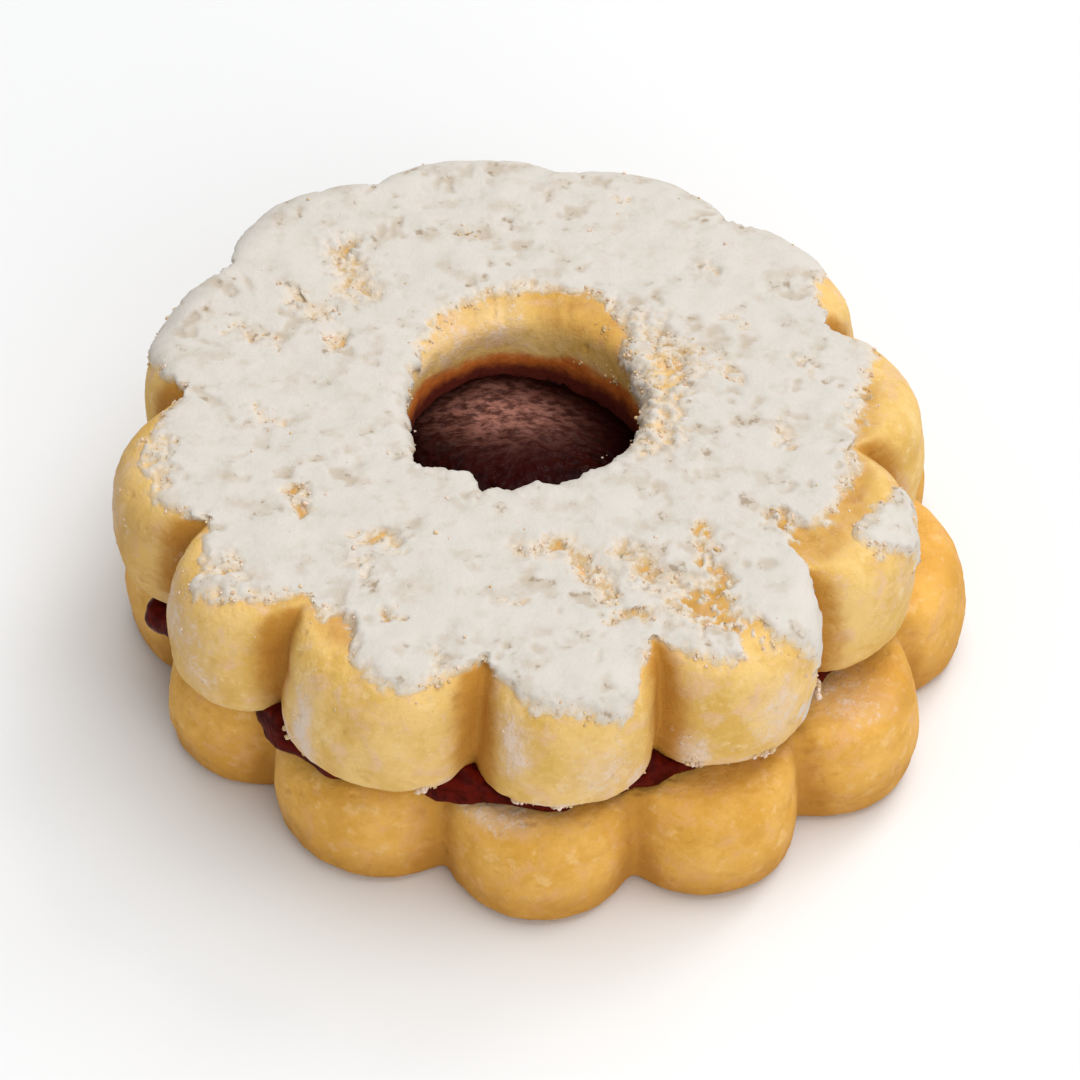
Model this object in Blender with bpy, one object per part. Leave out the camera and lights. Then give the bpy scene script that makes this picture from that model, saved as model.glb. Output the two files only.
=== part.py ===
"""Linzer cookie: two scalloped shortbread biscuits with jam between them.

Metres, +Z up. The cookie rests on z = 0, and Z runs through the middle of its outline.
Three solids: the whole bottom biscuit, the jam, and the top biscuit with its round window.
"""
import math

import bmesh
import bpy

GAP = 0.0003

# Scalloped outline: a round lobe between each notch and the next.
LOBES = 12
SAMPLES_PER_LOBE = 10
LOBE_STEP_DEG = 360 / LOBES
NOTCH_DEPTH = 0.0031
NOTCH_SOFTNESS = 0.12

# Each biscuit: the middle of its outline, its crest radius, the direction of its first notch and
# the bow of its lobes, from 0, a flat curve, to 1, a half circle.
TOP_CENTRE = (-0.0017, 0.0007)
TOP_CREST_RADIUS = 0.0315
TOP_FIRST_NOTCH_DEG = 22
TOP_LOBE_BOW = 0.85
BOTTOM_CENTRE = (0.0014, -0.0001)
BOTTOM_CREST_RADIUS = 0.0315
BOTTOM_FIRST_NOTCH_DEG = -49
BOTTOM_LOBE_BOW = 0.3

# Unevenness from cutting by hand and baking: the turn of each notch away from its even place, and
# how far the lobe after it has crept past the crest radius.
TOP_TURN_DEG = (-1, 0.5, 1.5, 1, 0.5, 2, 3.5, -1, 1.5, -1, -2.5, -1.5)
TOP_CREEP = (
    -0.0013, -0.0009, 0.0, 0.0010, -0.0011, -0.0004, -0.0002, -0.0003, -0.0002, 0.0003, 0.0001, -0.0006,
)
BOTTOM_TURN_DEG = (-2.5, -3, 0, 1, 0, -1, 0, 0, 4, -1, 0, -0.5)
BOTTOM_CREEP = (
    0.0003, -0.0002, 0.0001, -0.0002, 0.0, 0.0002, 0.0006, 0.0026, 0.0011, 0.0002, 0.0004, 0.0004,
)

# Heights.
BOTTOM_THICKNESS = 0.0094
TOP_UNDERSIDE = 0.0110
TOP_THICKNESS = 0.0113
TOP_FACE = TOP_UNDERSIDE + TOP_THICKNESS

# Edge roundings. In a notch the shoulder turns in by only this share of its width at a crest.
FOOT_ROUNDING = 0.0016
BOTTOM_SHOULDER = 0.0026
TOP_SHOULDER = 0.0045
NOTCH_SHOULDER_SHARE = 0.5
WALL_BULGE = 0.0003
ROUNDING_STEPS = 3

# Window in the top biscuit.
WINDOW_CENTRE = (-0.0013, 0.0017)
WINDOW_RADIUS = 0.0092
WINDOW_RIM_ROUNDING = 0.0026
WINDOW_FOOT_ROUNDING = 0.0010

# Jam: a layer that stops short of the crests, and a low dome standing in the window.
JAM_CENTRE = (-0.0023, 0.0002)
JAM_RADIUS = 0.0285
JAM_SETBACK = 0.0022
JAM_CORNER = 0.0020
JAM_LEVEL = 0.0167
JAM_DOME_RISE = 0.0009

SHORTBREAD = (0.76, 0.50, 0.22, 1.0)
BAKED_SHORTBREAD = (0.70, 0.40, 0.12, 1.0)
JAM_RED = (0.10, 0.008, 0.008, 1.0)


def clear_scene():
    """Remove every object of the scene."""
    for thing in list(bpy.data.objects):
        bpy.data.objects.remove(thing, do_unlink=True)


def food_material(name, colour, roughness):
    """A plain Principled material."""
    material = bpy.data.materials.new(name)
    material.use_nodes = True
    shader = material.node_tree.nodes["Principled BSDF"]
    shader.inputs["Base Color"].default_value = colour
    shader.inputs["Roughness"].default_value = roughness
    shader.inputs["Metallic"].default_value = 0.0
    material.diffuse_color = colour
    return material


def lobe_rise(place, bow):
    """Height of a lobe's arc, 0 at the notches (place -1 and 1) and 1 at its crest (place 0)."""
    chord = math.sqrt(1 - bow ** 2)
    arc = (math.sqrt(1 - (bow * place) ** 2) - chord) / (1 - chord)
    soft_top = math.hypot(1, NOTCH_SOFTNESS) - NOTCH_SOFTNESS
    return (math.hypot(arc, NOTCH_SOFTNESS) - NOTCH_SOFTNESS) / soft_top


def scallop(first_notch_deg, turn_deg, creep, crest_radius, bow):
    """The outline as a list of (angle, radius, rise), lobe by lobe, starting at the first notch."""
    notches = [first_notch_deg + lobe * LOBE_STEP_DEG + turn for lobe, turn in enumerate(turn_deg)]
    notches.append(notches[0] + 360)
    outline = []
    for lobe in range(LOBES):
        before, here, after = creep[lobe - 1], creep[lobe], creep[(lobe + 1) % LOBES]
        for step in range(SAMPLES_PER_LOBE):
            share = step / SAMPLES_PER_LOBE
            angle = math.radians(notches[lobe] + (notches[lobe + 1] - notches[lobe]) * share)
            rise = lobe_rise(2 * share - 1, bow)
            neighbour = before if share < 0.5 else after
            crept = here + (neighbour - here) * abs(share - 0.5)
            outline.append((angle, crest_radius + crept - NOTCH_DEPTH * (1 - rise), rise))
    return outline


def ring(centre, polar_points, height):
    """A closed ring of points from (angle, radius) pairs about a centre."""
    x, y = centre
    return [(x + r * math.cos(a), y + r * math.sin(a), height) for a, r in polar_points]


def middle_ring(outer, inner, height):
    """The ring half-way between two rings."""
    return [((xo + xi) / 2, (yo + yi) / 2, height) for (xo, yo, _), (xi, yi, _) in zip(outer, inner)]


def quarter_turn(step, steps=ROUNDING_STEPS):
    """An angle from 0 to 90 degrees, in even steps."""
    return math.pi / 2 * step / steps


def biscuit_walls(centre, outline, low, high, shoulder):
    """Rings up a wall with a rounded foot, a slight bulge and a rounded shoulder."""
    rings = []
    for step in range(ROUNDING_STEPS + 1):
        turn = quarter_turn(step)
        inset = FOOT_ROUNDING * (1 - math.sin(turn))
        points = [(angle, radius - inset) for angle, radius, _ in outline]
        rings.append(ring(centre, points, low + FOOT_ROUNDING * (1 - math.cos(turn))))
    bulge = [(angle, radius + WALL_BULGE) for angle, radius, _ in outline]
    rings.append(ring(centre, bulge, (low + FOOT_ROUNDING + high - shoulder) / 2))
    for step in range(ROUNDING_STEPS + 1):
        turn = quarter_turn(step)
        inset = shoulder * (1 - math.cos(turn))
        points = []
        for angle, radius, rise in outline:
            share = NOTCH_SHOULDER_SHARE + (1 - NOTCH_SHOULDER_SHARE) * rise
            points.append((angle, radius - inset * share))
        rings.append(ring(centre, points, high - shoulder * (1 - math.sin(turn))))
    return rings


def solid_from_rings(name, rings, material, apexes=None):
    """Bridge each ring to the next. Without apexes the last ring meets the first."""
    mesh = bpy.data.meshes.new(name)
    body = bmesh.new()
    loops = [[body.verts.new(point) for point in points] for points in rings]
    count = len(loops[0])
    pairs = list(zip(loops, loops[1:]))
    if apexes is None:
        pairs.append((loops[-1], loops[0]))
    for near, far in pairs:
        for i in range(count):
            j = (i + 1) % count
            body.faces.new((near[i], near[j], far[j], far[i]))
    if apexes is not None:
        first = body.verts.new(apexes[0])
        last = body.verts.new(apexes[1])
        for i in range(count):
            j = (i + 1) % count
            body.faces.new((first, loops[0][j], loops[0][i]))
            body.faces.new((last, loops[-1][i], loops[-1][j]))
    bmesh.ops.recalc_face_normals(body, faces=body.faces[:])
    body.to_mesh(mesh)
    body.free()
    mesh.shade_smooth()
    mesh.materials.append(material)
    thing = bpy.data.objects.new(name, mesh)
    bpy.context.scene.collection.objects.link(thing)
    return thing


def bottom_outline():
    """The outline of the bottom biscuit."""
    sizes = (BOTTOM_CREST_RADIUS, BOTTOM_LOBE_BOW)
    return scallop(BOTTOM_FIRST_NOTCH_DEG, BOTTOM_TURN_DEG, BOTTOM_CREEP, *sizes)


def make_bottom_biscuit():
    """The whole biscuit that the cookie stands on: a flat foot, a scalloped wall, a flat top."""
    outline = bottom_outline()
    rings = biscuit_walls(BOTTOM_CENTRE, outline, 0.0, BOTTOM_THICKNESS, BOTTOM_SHOULDER)
    apexes = ((*BOTTOM_CENTRE, 0.0), (*BOTTOM_CENTRE, BOTTOM_THICKNESS))
    baked = food_material("baked_shortbread", BAKED_SHORTBREAD, 0.8)
    return solid_from_rings("bottom_biscuit", rings, baked, apexes)


def window_ring(outline, radius, height):
    """A round ring about the window's middle, in step with an outline's angles."""
    return ring(WINDOW_CENTRE, [(angle, radius) for angle, _, _ in outline], height)


def make_top_biscuit():
    """The biscuit with the window: its wall, its face, and back down through the window."""
    sizes = (TOP_CREST_RADIUS, TOP_LOBE_BOW)
    outline = scallop(TOP_FIRST_NOTCH_DEG, TOP_TURN_DEG, TOP_CREEP, *sizes)
    rings = biscuit_walls(TOP_CENTRE, outline, TOP_UNDERSIDE, TOP_FACE, TOP_SHOULDER)
    rim = window_ring(outline, WINDOW_RADIUS + WINDOW_RIM_ROUNDING, TOP_FACE)
    rings.append(middle_ring(rings[-1], rim, TOP_FACE))
    for step in range(ROUNDING_STEPS + 1):
        turn = quarter_turn(step)
        radius = WINDOW_RADIUS + WINDOW_RIM_ROUNDING * (1 - math.sin(turn))
        height = TOP_FACE - WINDOW_RIM_ROUNDING * (1 - math.cos(turn))
        rings.append(window_ring(outline, radius, height))
    for step in range(ROUNDING_STEPS):
        turn = quarter_turn(step, ROUNDING_STEPS - 1)
        radius = WINDOW_RADIUS + WINDOW_FOOT_ROUNDING * (1 - math.cos(turn))
        height = TOP_UNDERSIDE + WINDOW_FOOT_ROUNDING * (1 - math.sin(turn))
        rings.append(window_ring(outline, radius, height))
    return solid_from_rings("top_biscuit", rings, food_material("shortbread", SHORTBREAD, 0.8))


def jam_edge(angle, bottom_radius):
    """How far the jam spreads: its own circle, held back from the edge of the biscuit below."""
    step_x = BOTTOM_CENTRE[0] - JAM_CENTRE[0]
    step_y = BOTTOM_CENTRE[1] - JAM_CENTRE[1]
    limit = bottom_radius - JAM_SETBACK + step_x * math.cos(angle) + step_y * math.sin(angle)
    overlap = max(0.0, JAM_CORNER - abs(JAM_RADIUS - limit))
    return min(JAM_RADIUS, limit) - overlap ** 2 / (4 * JAM_CORNER)


def make_jam():
    """The jam: a thin layer between the biscuits that rises through the window as a low dome."""
    outline = bottom_outline()
    low = BOTTOM_THICKNESS + GAP
    high = TOP_UNDERSIDE - GAP
    half = (high - low) / 2
    rings = []
    for turn_deg in (-90, -30, 30, 90):
        turn = math.radians(turn_deg)
        inset = half * (1 - math.cos(turn))
        edge = [(angle, jam_edge(angle, radius) - inset) for angle, radius, _ in outline]
        rings.append(ring(JAM_CENTRE, edge, low + half * (1 + math.sin(turn))))
    neck = WINDOW_RADIUS - GAP
    rings.append(window_ring(outline, neck, high))
    for share in (1.0, 0.8, 0.45):
        rings.append(window_ring(outline, neck * share, JAM_LEVEL + JAM_DOME_RISE * (1 - share ** 2)))
    apexes = ((*JAM_CENTRE, low), (*WINDOW_CENTRE, JAM_LEVEL + JAM_DOME_RISE))
    return solid_from_rings("jam_filling", rings, food_material("jam", JAM_RED, 0.25), apexes)


def main():
    clear_scene()
    make_bottom_biscuit()
    make_jam()
    make_top_biscuit()


main()
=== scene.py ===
"""Linzer cookie: the baked crumb of two scalloped biscuits, jam between them and icing sugar on top.

Metres, +Z up. The cookie stands on z = 0 and is looked at along +Y. Run it in Blender as a script:
each piece is made by its own operator, from the sizes in its group of settings.
"""

import math
from collections import namedtuple

import bpy
import numpy as np
from bpy.props import FloatProperty, FloatVectorProperty, IntProperty, PointerProperty
from bpy.types import Operator, Panel, PropertyGroup
from mathutils import Matrix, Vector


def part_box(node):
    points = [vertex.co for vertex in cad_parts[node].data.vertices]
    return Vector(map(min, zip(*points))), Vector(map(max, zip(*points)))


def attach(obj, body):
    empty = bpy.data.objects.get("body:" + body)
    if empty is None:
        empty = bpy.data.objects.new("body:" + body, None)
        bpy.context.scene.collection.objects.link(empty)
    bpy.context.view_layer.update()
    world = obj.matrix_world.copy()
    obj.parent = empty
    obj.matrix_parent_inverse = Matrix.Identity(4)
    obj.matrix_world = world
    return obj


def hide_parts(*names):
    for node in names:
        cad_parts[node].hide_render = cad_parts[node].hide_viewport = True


bl_info = {
    "name": "Linzer Cookie",
    "version": (1, 0, 0),
    "blender": (4, 5, 0),
    "location": "3D View > Sidebar > Linzer",
    "description": "A jam-filled shortbread cookie with a round window and icing sugar",
    "category": "Add Mesh",
}

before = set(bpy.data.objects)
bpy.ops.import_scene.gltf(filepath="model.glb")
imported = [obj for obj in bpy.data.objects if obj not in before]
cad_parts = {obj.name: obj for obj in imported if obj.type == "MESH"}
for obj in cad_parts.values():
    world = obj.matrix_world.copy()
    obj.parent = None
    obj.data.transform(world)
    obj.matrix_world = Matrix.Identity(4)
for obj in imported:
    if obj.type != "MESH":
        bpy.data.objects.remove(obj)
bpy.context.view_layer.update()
BOTTOM_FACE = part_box("bottom_biscuit")[1].z
TOP_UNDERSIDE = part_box("top_biscuit")[0].z
SUGAR_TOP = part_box("top_biscuit")[1].z
JAM_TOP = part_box("jam_filling")[1].z
BODY = "root"
MM = 0.001
LOBES = 12
LOBE_STEP = 360 / LOBES

# A biscuit's outline: its middle; the direction of its first notch, and the turn of each notch away
# from its even place, in degrees; how far the lobe after each notch has crept outwards, in
# millimetres; the bow of its lobes and the softness of its notches.
Outline = namedtuple("Outline", "middle first_notch turns creeps bow softness")
TOP = Outline(
    (-0.0017, 0.0007), 22, (-1, 0.5, 1.5, 1, 0.5, 2, 3.5, -1, 1.5, -1, -2.5, -1.5),
    (-1.3, -0.9, 0, 1.0, -1.1, -0.4, -0.2, -0.3, -0.2, 0.3, 0.1, -0.6), 0.85, 0.12)
BOTTOM = Outline(
    (0.0014, -0.0001), -49, (-2.5, -3, 0, 1, 0, -1, 0, 0, 4, -1, 0, -0.5),
    (0.3, -0.2, 0.1, -0.2, 0, 0.2, 0.6, 2.6, 1.1, 0.2, 0.4, 0.4), 0.3, 0.22)
WINDOW_CENTRE = (-0.0013, 0.0017)
JAM_CENTRE = (-0.0023, 0.0002)

# Roundings. In a notch a shoulder turns in by only half of its width at a crest.
FOOT = 1.6 * MM
TOP_SHOULDER = 3.7 * MM
BOTTOM_SHOULDER = 2.9 * MM
RIM = 1.4 * MM
# How far the walls bulge, the room left for sugar under the cookie's top, the most that the front left
# grooves lean, how soft the top's notches are where sugar smooths them, and how far sugar fills those
# at the back.
WALL_BULGE = 0.3 * MM
SUGAR_ALLOWANCE = 0.6 * MM
GROOVE_LEAN = math.radians(2.6)
SMOOTHED_NOTCH = 0.24
NOTCH_FILL = 1.1 * MM
# A profile's steps round each arc, and the columns of its table.
ARC_STEPS = 13
DISTANCE, FOOT_INSET, SHOULDER_INSET, HEIGHT, ACROSS, INNER = range(6)

# How far the icing sugar laps past the edge of the face, in millimetres: at each notch of the top
# biscuit, and at the crest of the lobe after it. Less than nothing leaves the face's edge bare.
LAP_AT_NOTCH = (-0.8, 1.5, 1.5, 2.0, 1.5, -0.2, 0.6, -1.4, 0.2, -0.8, -4.2, 0.2)
LAP_AT_CREST = (3.6, 4.2, 4.5, 4.5, 3.8, 1.4, 1.8, 1.3, 2.8, 2.4, -2.2, -0.6)
# Places where it laps further, or less: direction and half width in degrees, then millimetres.
FURTHER_LAPS = (
    (284.2, 3.0, 2.1), (253, 4.0, 1.0), (240.0, 4.4, -2.9), (312, 3.0, 0.9), (224, 3.0, -0.8),
    (210, 4.0, -1.2), (14, 5.0, 1.8), (357, 4.0, -0.8), (267, 2.0, -0.6), (29, 5.0, -2.8),
)
# How far it laps past the start of the window's rim: direction in degrees, then millimetres.
LAP_INTO_WINDOW = (
    (0, 3.4), (20, 3.6), (35, 2.0), (46, -0.8), (60, -2.6), (90, -2.7), (115, -1.4), (140, 0.3),
    (165, 1.9), (190, 2.2), (212, 1.4), (228, 1.6), (235, 3.0), (243, 3.4), (249, 1.7), (262, 1.9),
    (276, 2.2), (286, 1.8), (293, 2.8), (315, 3.0), (335, 4.2),
)
# Where the sugar has settled badly: the two ends of a streak and its half width in millimetres, and
# how bare it is, from 0 to 1.
BARE_STREAKS = (
    (-15.4, 19.2, -14.2, 14.2, 2.1, 0.72), (-18.8, 13.0, -16.6, 11.4, 1.6, 0.56),
    (-16.0, 8.6, -15.8, 7.6, 1.2, 0.76), (-23.6, 10.4, -20.2, 7.8, 1.4, 0.50),
    (-18.3, -8.0, -17.7, -9.9, 1.1, 0.90), (-12.9, -12.6, -10.4, -13.6, 1.3, 0.70),
    (-13.4, -15.2, -12.8, -16.0, 0.9, 0.56), (-11.0, -20.3, -10.8, -20.9, 0.7, 0.74),
    (-7.9, -24.4, -7.7, -25.0, 0.7, 0.72), (1.4, -13.8, 4.8, -18.6, 1.5, 0.76),
    (6.2, -14.4, 8.0, -17.0, 1.6, 0.70), (5.2, -21.4, 7.6, -20.8, 0.7, 0.72),
    (11.6, -12.2, 13.0, -19.0, 0.9, 0.84), (11.0, -19.6, 13.6, -23.0, 2.4, 0.98),
    (14.8, -22.6, 15.2, -24.4, 1.2, 1.00), (17.2, -11.4, 21.4, -14.6, 1.3, 0.93),
    (22.0, -13.4, 23.2, -9.4, 1.1, 0.90), (24.0, -8.6, 25.4, -6.4, 1.1, 0.86),
    (14.0, 10.8, 15.2, 9.6, 1.0, 0.48), (14.2, 4.9, 14.8, 4.0, 0.9, 0.62),
    (17.6, -2.0, 18.2, -3.2, 1.1, 0.62), (12.4, 17.0, 13.0, 16.0, 0.9, 0.46),
    (6.0, 25.2, 6.6, 24.6, 0.9, 0.48), (-24.2, -15.0, -22.6, -16.2, 1.3, 0.66),
    (-29.5, -0.5, -28.3, -6.0, 1.5, 0.50), (8.6, -2.5, 9.8, 5.0, 2.8, 0.60),
    (10.2, 6.4, 8.2, 9.8, 2.1, 0.60), (19.5, 6.0, 20.4, 4.8, 0.9, 0.48),
    (-3.0, -19.0, -1.6, -19.8, 0.8, 0.48), (-6.0, 21.0, -4.6, 20.4, 0.9, 0.42),
    (-21.5, 0.6, -19.8, -0.6, 1.2, 0.46), (-1.8, -14.2, -0.2, -14.8, 1.1, 0.52),
    (-18.6, -19.2, -17.2, -21.0, 1.3, 0.55), (23.8, -3.5, 25.0, 2.0, 1.4, 0.55),
)
# Sugar left standing on bare biscuit: the two ends of a streak and its half width, in millimetres.
SUGAR_ISLANDS = (
    (15.6, -14.2, 17.6, -20.4, 2.5), (12.3, -23.3, 12.9, -23.9, 1.0),
    (24.4, -12.6, 26.4, -10.4, 1.4), (26.4, -9.2, 26.8, -8.4, 0.8),
)
# The load of sugar well inside its edge, where a load of 1 already covers, and the most of it that
# clings in lumps to a bare streak.
PLENTY = 1.25
CLINGING = 0.46
# The sugar's relief: how high its drifts and its rubble stand and how deep its dents are; how far
# below the crumb the coat ends where sugar fails, how much further it dips where there is none, and
# how deep its underside is buried.
DRIFT = 0.15 * MM
RUBBLE = 0.24 * MM
DENT = 0.16 * MM
TUCK_UNDER = 0.12 * MM
FURTHER_DIP = 0.2 * MM
BURIED = 1.1 * MM
# Sugar dusted down the outer wall: direction and half width in degrees, the height where it is
# thickest and its half height in millimetres, then how thick it is, from 0 to 1.
WALL_DUST = (
    (239.0, 2.4, 15.0, 5.0, 0.66), (235.0, 2.0, 12.5, 2.2, 0.90), (214, 9, 18.0, 3.0, 0.46),
    (221, 5, 15.0, 3.5, 0.36), (190, 8, 17.5, 4.0, 0.40), (269, 2.6, 17.5, 3.5, 0.56),
    (281, 6, 15.0, 3.5, 0.42), (286, 3, 12.5, 2.0, 0.52), (274, 7, 11.4, 0.8, 0.60),
    (294.5, 2.2, 13.0, 3.0, 0.56), (306, 5, 16.0, 4.0, 0.44), (310.5, 1.4, 14.2, 0.8, 0.90),
    (303, 8, 12.0, 0.8, 0.36), (317, 3, 14.0, 4.0, 0.50), (258, 4, 11.6, 0.8, 0.50),
    (336, 8, 17.0, 3.0, 0.34), (20, 12, 17.0, 3.0, 0.34), (70, 22, 17.5, 3.5, 0.34),
    (130, 22, 17.0, 4.0, 0.36), (352, 5, 14.0, 4.0, 0.32), (203, 2.0, 12.0, 2.0, 0.40),
)
# Sugar on the bottom biscuit's shoulder: direction and half width in degrees, then how thick it is.
SEAM_DUST = ((262, 9, 0.42), (322, 9, 0.30))
# Jam pressed out of the seam: direction and half width in degrees, then how far it swells upwards,
# downwards and outwards, in millimetres.
JAM_BEADS = (
    (187, 5.5, 0.6, 1.0, 1.4), (198, 4.6, 0.7, 1.3, 3.9), (205, 2.4, 1.2, 0.2, 0.8),
    (217.5, 4.0, 0.1, 0.6, 2.1), (226, 4.0, 0.9, 0.6, 1.3), (232, 3.5, 1.6, 0.3, 0.8),
    (245, 8.0, 0.1, 0.3, 1.7), (262, 4.4, 1.7, 0.0, 0.2), (277, 6.0, 0.1, 0.3, 1.1),
    (291, 2.4, 1.5, 0.0, 0.4), (319, 1.8, 0.6, 0.0, 0.2), (28, 5.0, 0.4, 0.8, 1.2),
    (75, 4.0, 0.8, 1.0, 1.4), (128, 5.0, 0.6, 1.2, 1.6),
)
# The jam: how far it sinks to the window's right, how far from the window's middle it has sunk fully,
# and in which direction, in radians; how far its dome rises to the middle, and how far its edge curls
# down; its gap to each biscuit, the rounding of its pressed-out edge, how far that lies inside the
# bottom biscuit's outline, and how far it waves.
JAM_SAG = 1.6 * MM
SAG_REACH = 9.2 * MM
SAG_DIRECTION = 0.45
JAM_DOME = 0.9 * MM
JAM_CURL = 0.5 * MM
JAM_GAP = 0.15 * MM
JAM_ROUNDING = 1.4 * MM
JAM_SETBACK = 2.0 * MM
JAM_WAVE = 0.22 * MM
# Where the painted highlight on the jam shows most, and how far it reaches to each side: lighter streaks
# laid into its colour for the lamps and the lit wall reflected in it.
HIGHLIGHT_MIDDLE = (-0.0029, 0.0051)
HIGHLIGHT_REACH = 4.3 * MM
# Where the window is out of round: direction and half width in degrees, then millimetres.
WINDOW_BULGES = ((218, 11, 1.2), (239, 6, -0.5), (251, 7, 0.8), (285, 8, 0.5))
# The direction of the window's browner stretch, and how thick the sugar is on the window's wall.
BACK_RIGHT = 58
WINDOW_DUST = 0.29
# Where the top biscuit's foot is drawn in: direction and half width in degrees, then how many times.
FOOT_TUCKS = ((236, 6.0, 1.2), (199, 7.0, 1.3))
# Where the bottom biscuit's shoulder is browner: direction and half width in degrees, how brown.
BROWN_SPOTS = ((328, 7, 0.75), (352, 5, 0.6), (285, 6, 0.3))
# Crumb that jam has soaked, lightly and deeply, and the palest tint of baked crumb.
SOAKED = (0.62, 0.165, 0.022, 1.0)
DEEPLY_SOAKED = (0.13, 0.014, 0.006, 1.0)
PALEST = (1.0, 0.84, 0.58, 1.0)
# Loose lumps of sugar and of crumb: their usual radii on the top, their counts and usual radii along
# the seam, and the smallest and the largest radius. Then the grains on the jam: at the front, in all.
SUGAR_LUMP = 0.085 * MM
CRUMB_LUMP = 0.09 * MM
SEAM_SUGAR = (80, 0.15 * MM)
SEAM_CRUMBS = (60, 0.11 * MM)
LUMP_LIMITS = (0.05 * MM, 0.30 * MM)
FRONT_GRAINS_ON_JAM = 50
GRAINS_ON_JAM = 70
# The lamps: name, place and side in metres, watts. Then what they aim at, and the room's own light.
LAMPS = (
    ("overhead", (0.26, 0.10, 1.13), 1.05, 9.4), ("key", (0.26, 0.34, 0.45), 0.22, 0.80),
    ("front_fill", (0.22, -0.54, 0.33), 0.50, 1.55),
)
LAMP_AIM = (0.0, 0.0, 0.01)
ROOM_LIGHT = 0.335
# The camera: what it looks at, its lens and sensor in millimetres, its sideways shift and its roll.
CAMERA_TARGET = (0.0002, -0.0009, 0.00945)
LENS = 135.3
SENSOR_WIDTH = 36.0
CAMERA_SHIFT = -0.0056
CAMERA_ROLL = math.radians(-0.6)
# Columns of the sugar's grid outside and inside, and of every other grid.
FINE_COLUMNS = 900
COARSE_COLUMNS = FINE_COLUMNS // 2
WALL_COLUMNS = 720
# Seeds of the random fields and of the lumps: any number does, but each gives its own unevenness.
TOP_SEED, BOTTOM_SEED, EDGE_SEED, SUGAR_SEED, STAIN_SEED, JAM_SEED, GRAIN_SEED = range(100, 800, 100)
LUMP_SEED = 11


# ---------------------------------------------------------------- settings


class LinzerBiscuitSettings(PropertyGroup):
    """Sizes and colours of the two biscuits."""

    crest_radius: FloatProperty(
        name="Crest Radius", description="Middle of a biscuit to the crest of a lobe",
        default=0.0315, unit="LENGTH")
    notch_depth: FloatProperty(
        name="Notch Depth", description="How far a notch lies inside the crests",
        default=0.0031, unit="LENGTH")
    crease: FloatProperty(
        name="Crease", description="How much deeper the narrow crease in a top notch is",
        default=0.0010, unit="LENGTH")
    bottom_crease: FloatProperty(
        name="Bottom Crease", description="How much deeper the narrow crease in a bottom notch is",
        default=0.0006, unit="LENGTH")
    window_radius: FloatProperty(
        name="Window Radius", description="Radius of the round window", default=0.0092, unit="LENGTH")
    crumb_relief: FloatProperty(
        name="Crumb Relief", description="Depth of the crumb's bumps", default=0.00010, unit="LENGTH")
    face_roughness: FloatProperty(
        name="Face Roughness", description="How much deeper the bumps are on the top face, as a share",
        default=1.1)
    shortbread: FloatVectorProperty(
        name="Shortbread", description="Pale crumb of the top biscuit", subtype="COLOR",
        default=(0.79, 0.515, 0.180))
    baked: FloatVectorProperty(
        name="Baked Shortbread", description="Golden crumb of the bottom biscuit", subtype="COLOR",
        default=(0.785, 0.428, 0.094))
    # Also the colour that the notches, and the top's wall at the left, are darkened towards as painted
    # shade.
    browned: FloatVectorProperty(
        name="Browned Crumb", description="Crumb where it has baked longest", subtype="COLOR",
        default=(0.50, 0.225, 0.028))


class LinzerJamSettings(PropertyGroup):
    """Sizes and colours of the jam."""

    spread_radius: FloatProperty(
        name="Spread Radius", description="How far the jam spreads between the biscuits",
        default=0.0285, unit="LENGTH")
    lumpiness: FloatProperty(
        name="Lumpiness", description="Height of the lumps in the window", default=0.00017, unit="LENGTH")
    colour: FloatVectorProperty(
        name="Jam", description="Dark red in the middle of the window", subtype="COLOR",
        default=(0.025, 0.0021, 0.0016))
    # Painted shade: the jam by the window's wall is darkened towards this colour.
    dark: FloatVectorProperty(
        name="Dark Jam", description="Nearly black red by the window's wall", subtype="COLOR",
        default=(0.010, 0.0009, 0.0007))
    # Painted highlight: the lamps and the lit wall reflected in the jam, laid into its colour as lighter
    # streaks.
    streak: FloatVectorProperty(
        name="Streaks", description="Lighter pulp in the streaks behind the window's middle",
        subtype="COLOR", default=(0.45, 0.197, 0.147))
    seam: FloatVectorProperty(
        name="Seam Jam", description="Red of the jam between the biscuits", subtype="COLOR",
        default=(0.105, 0.007, 0.003))


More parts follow.
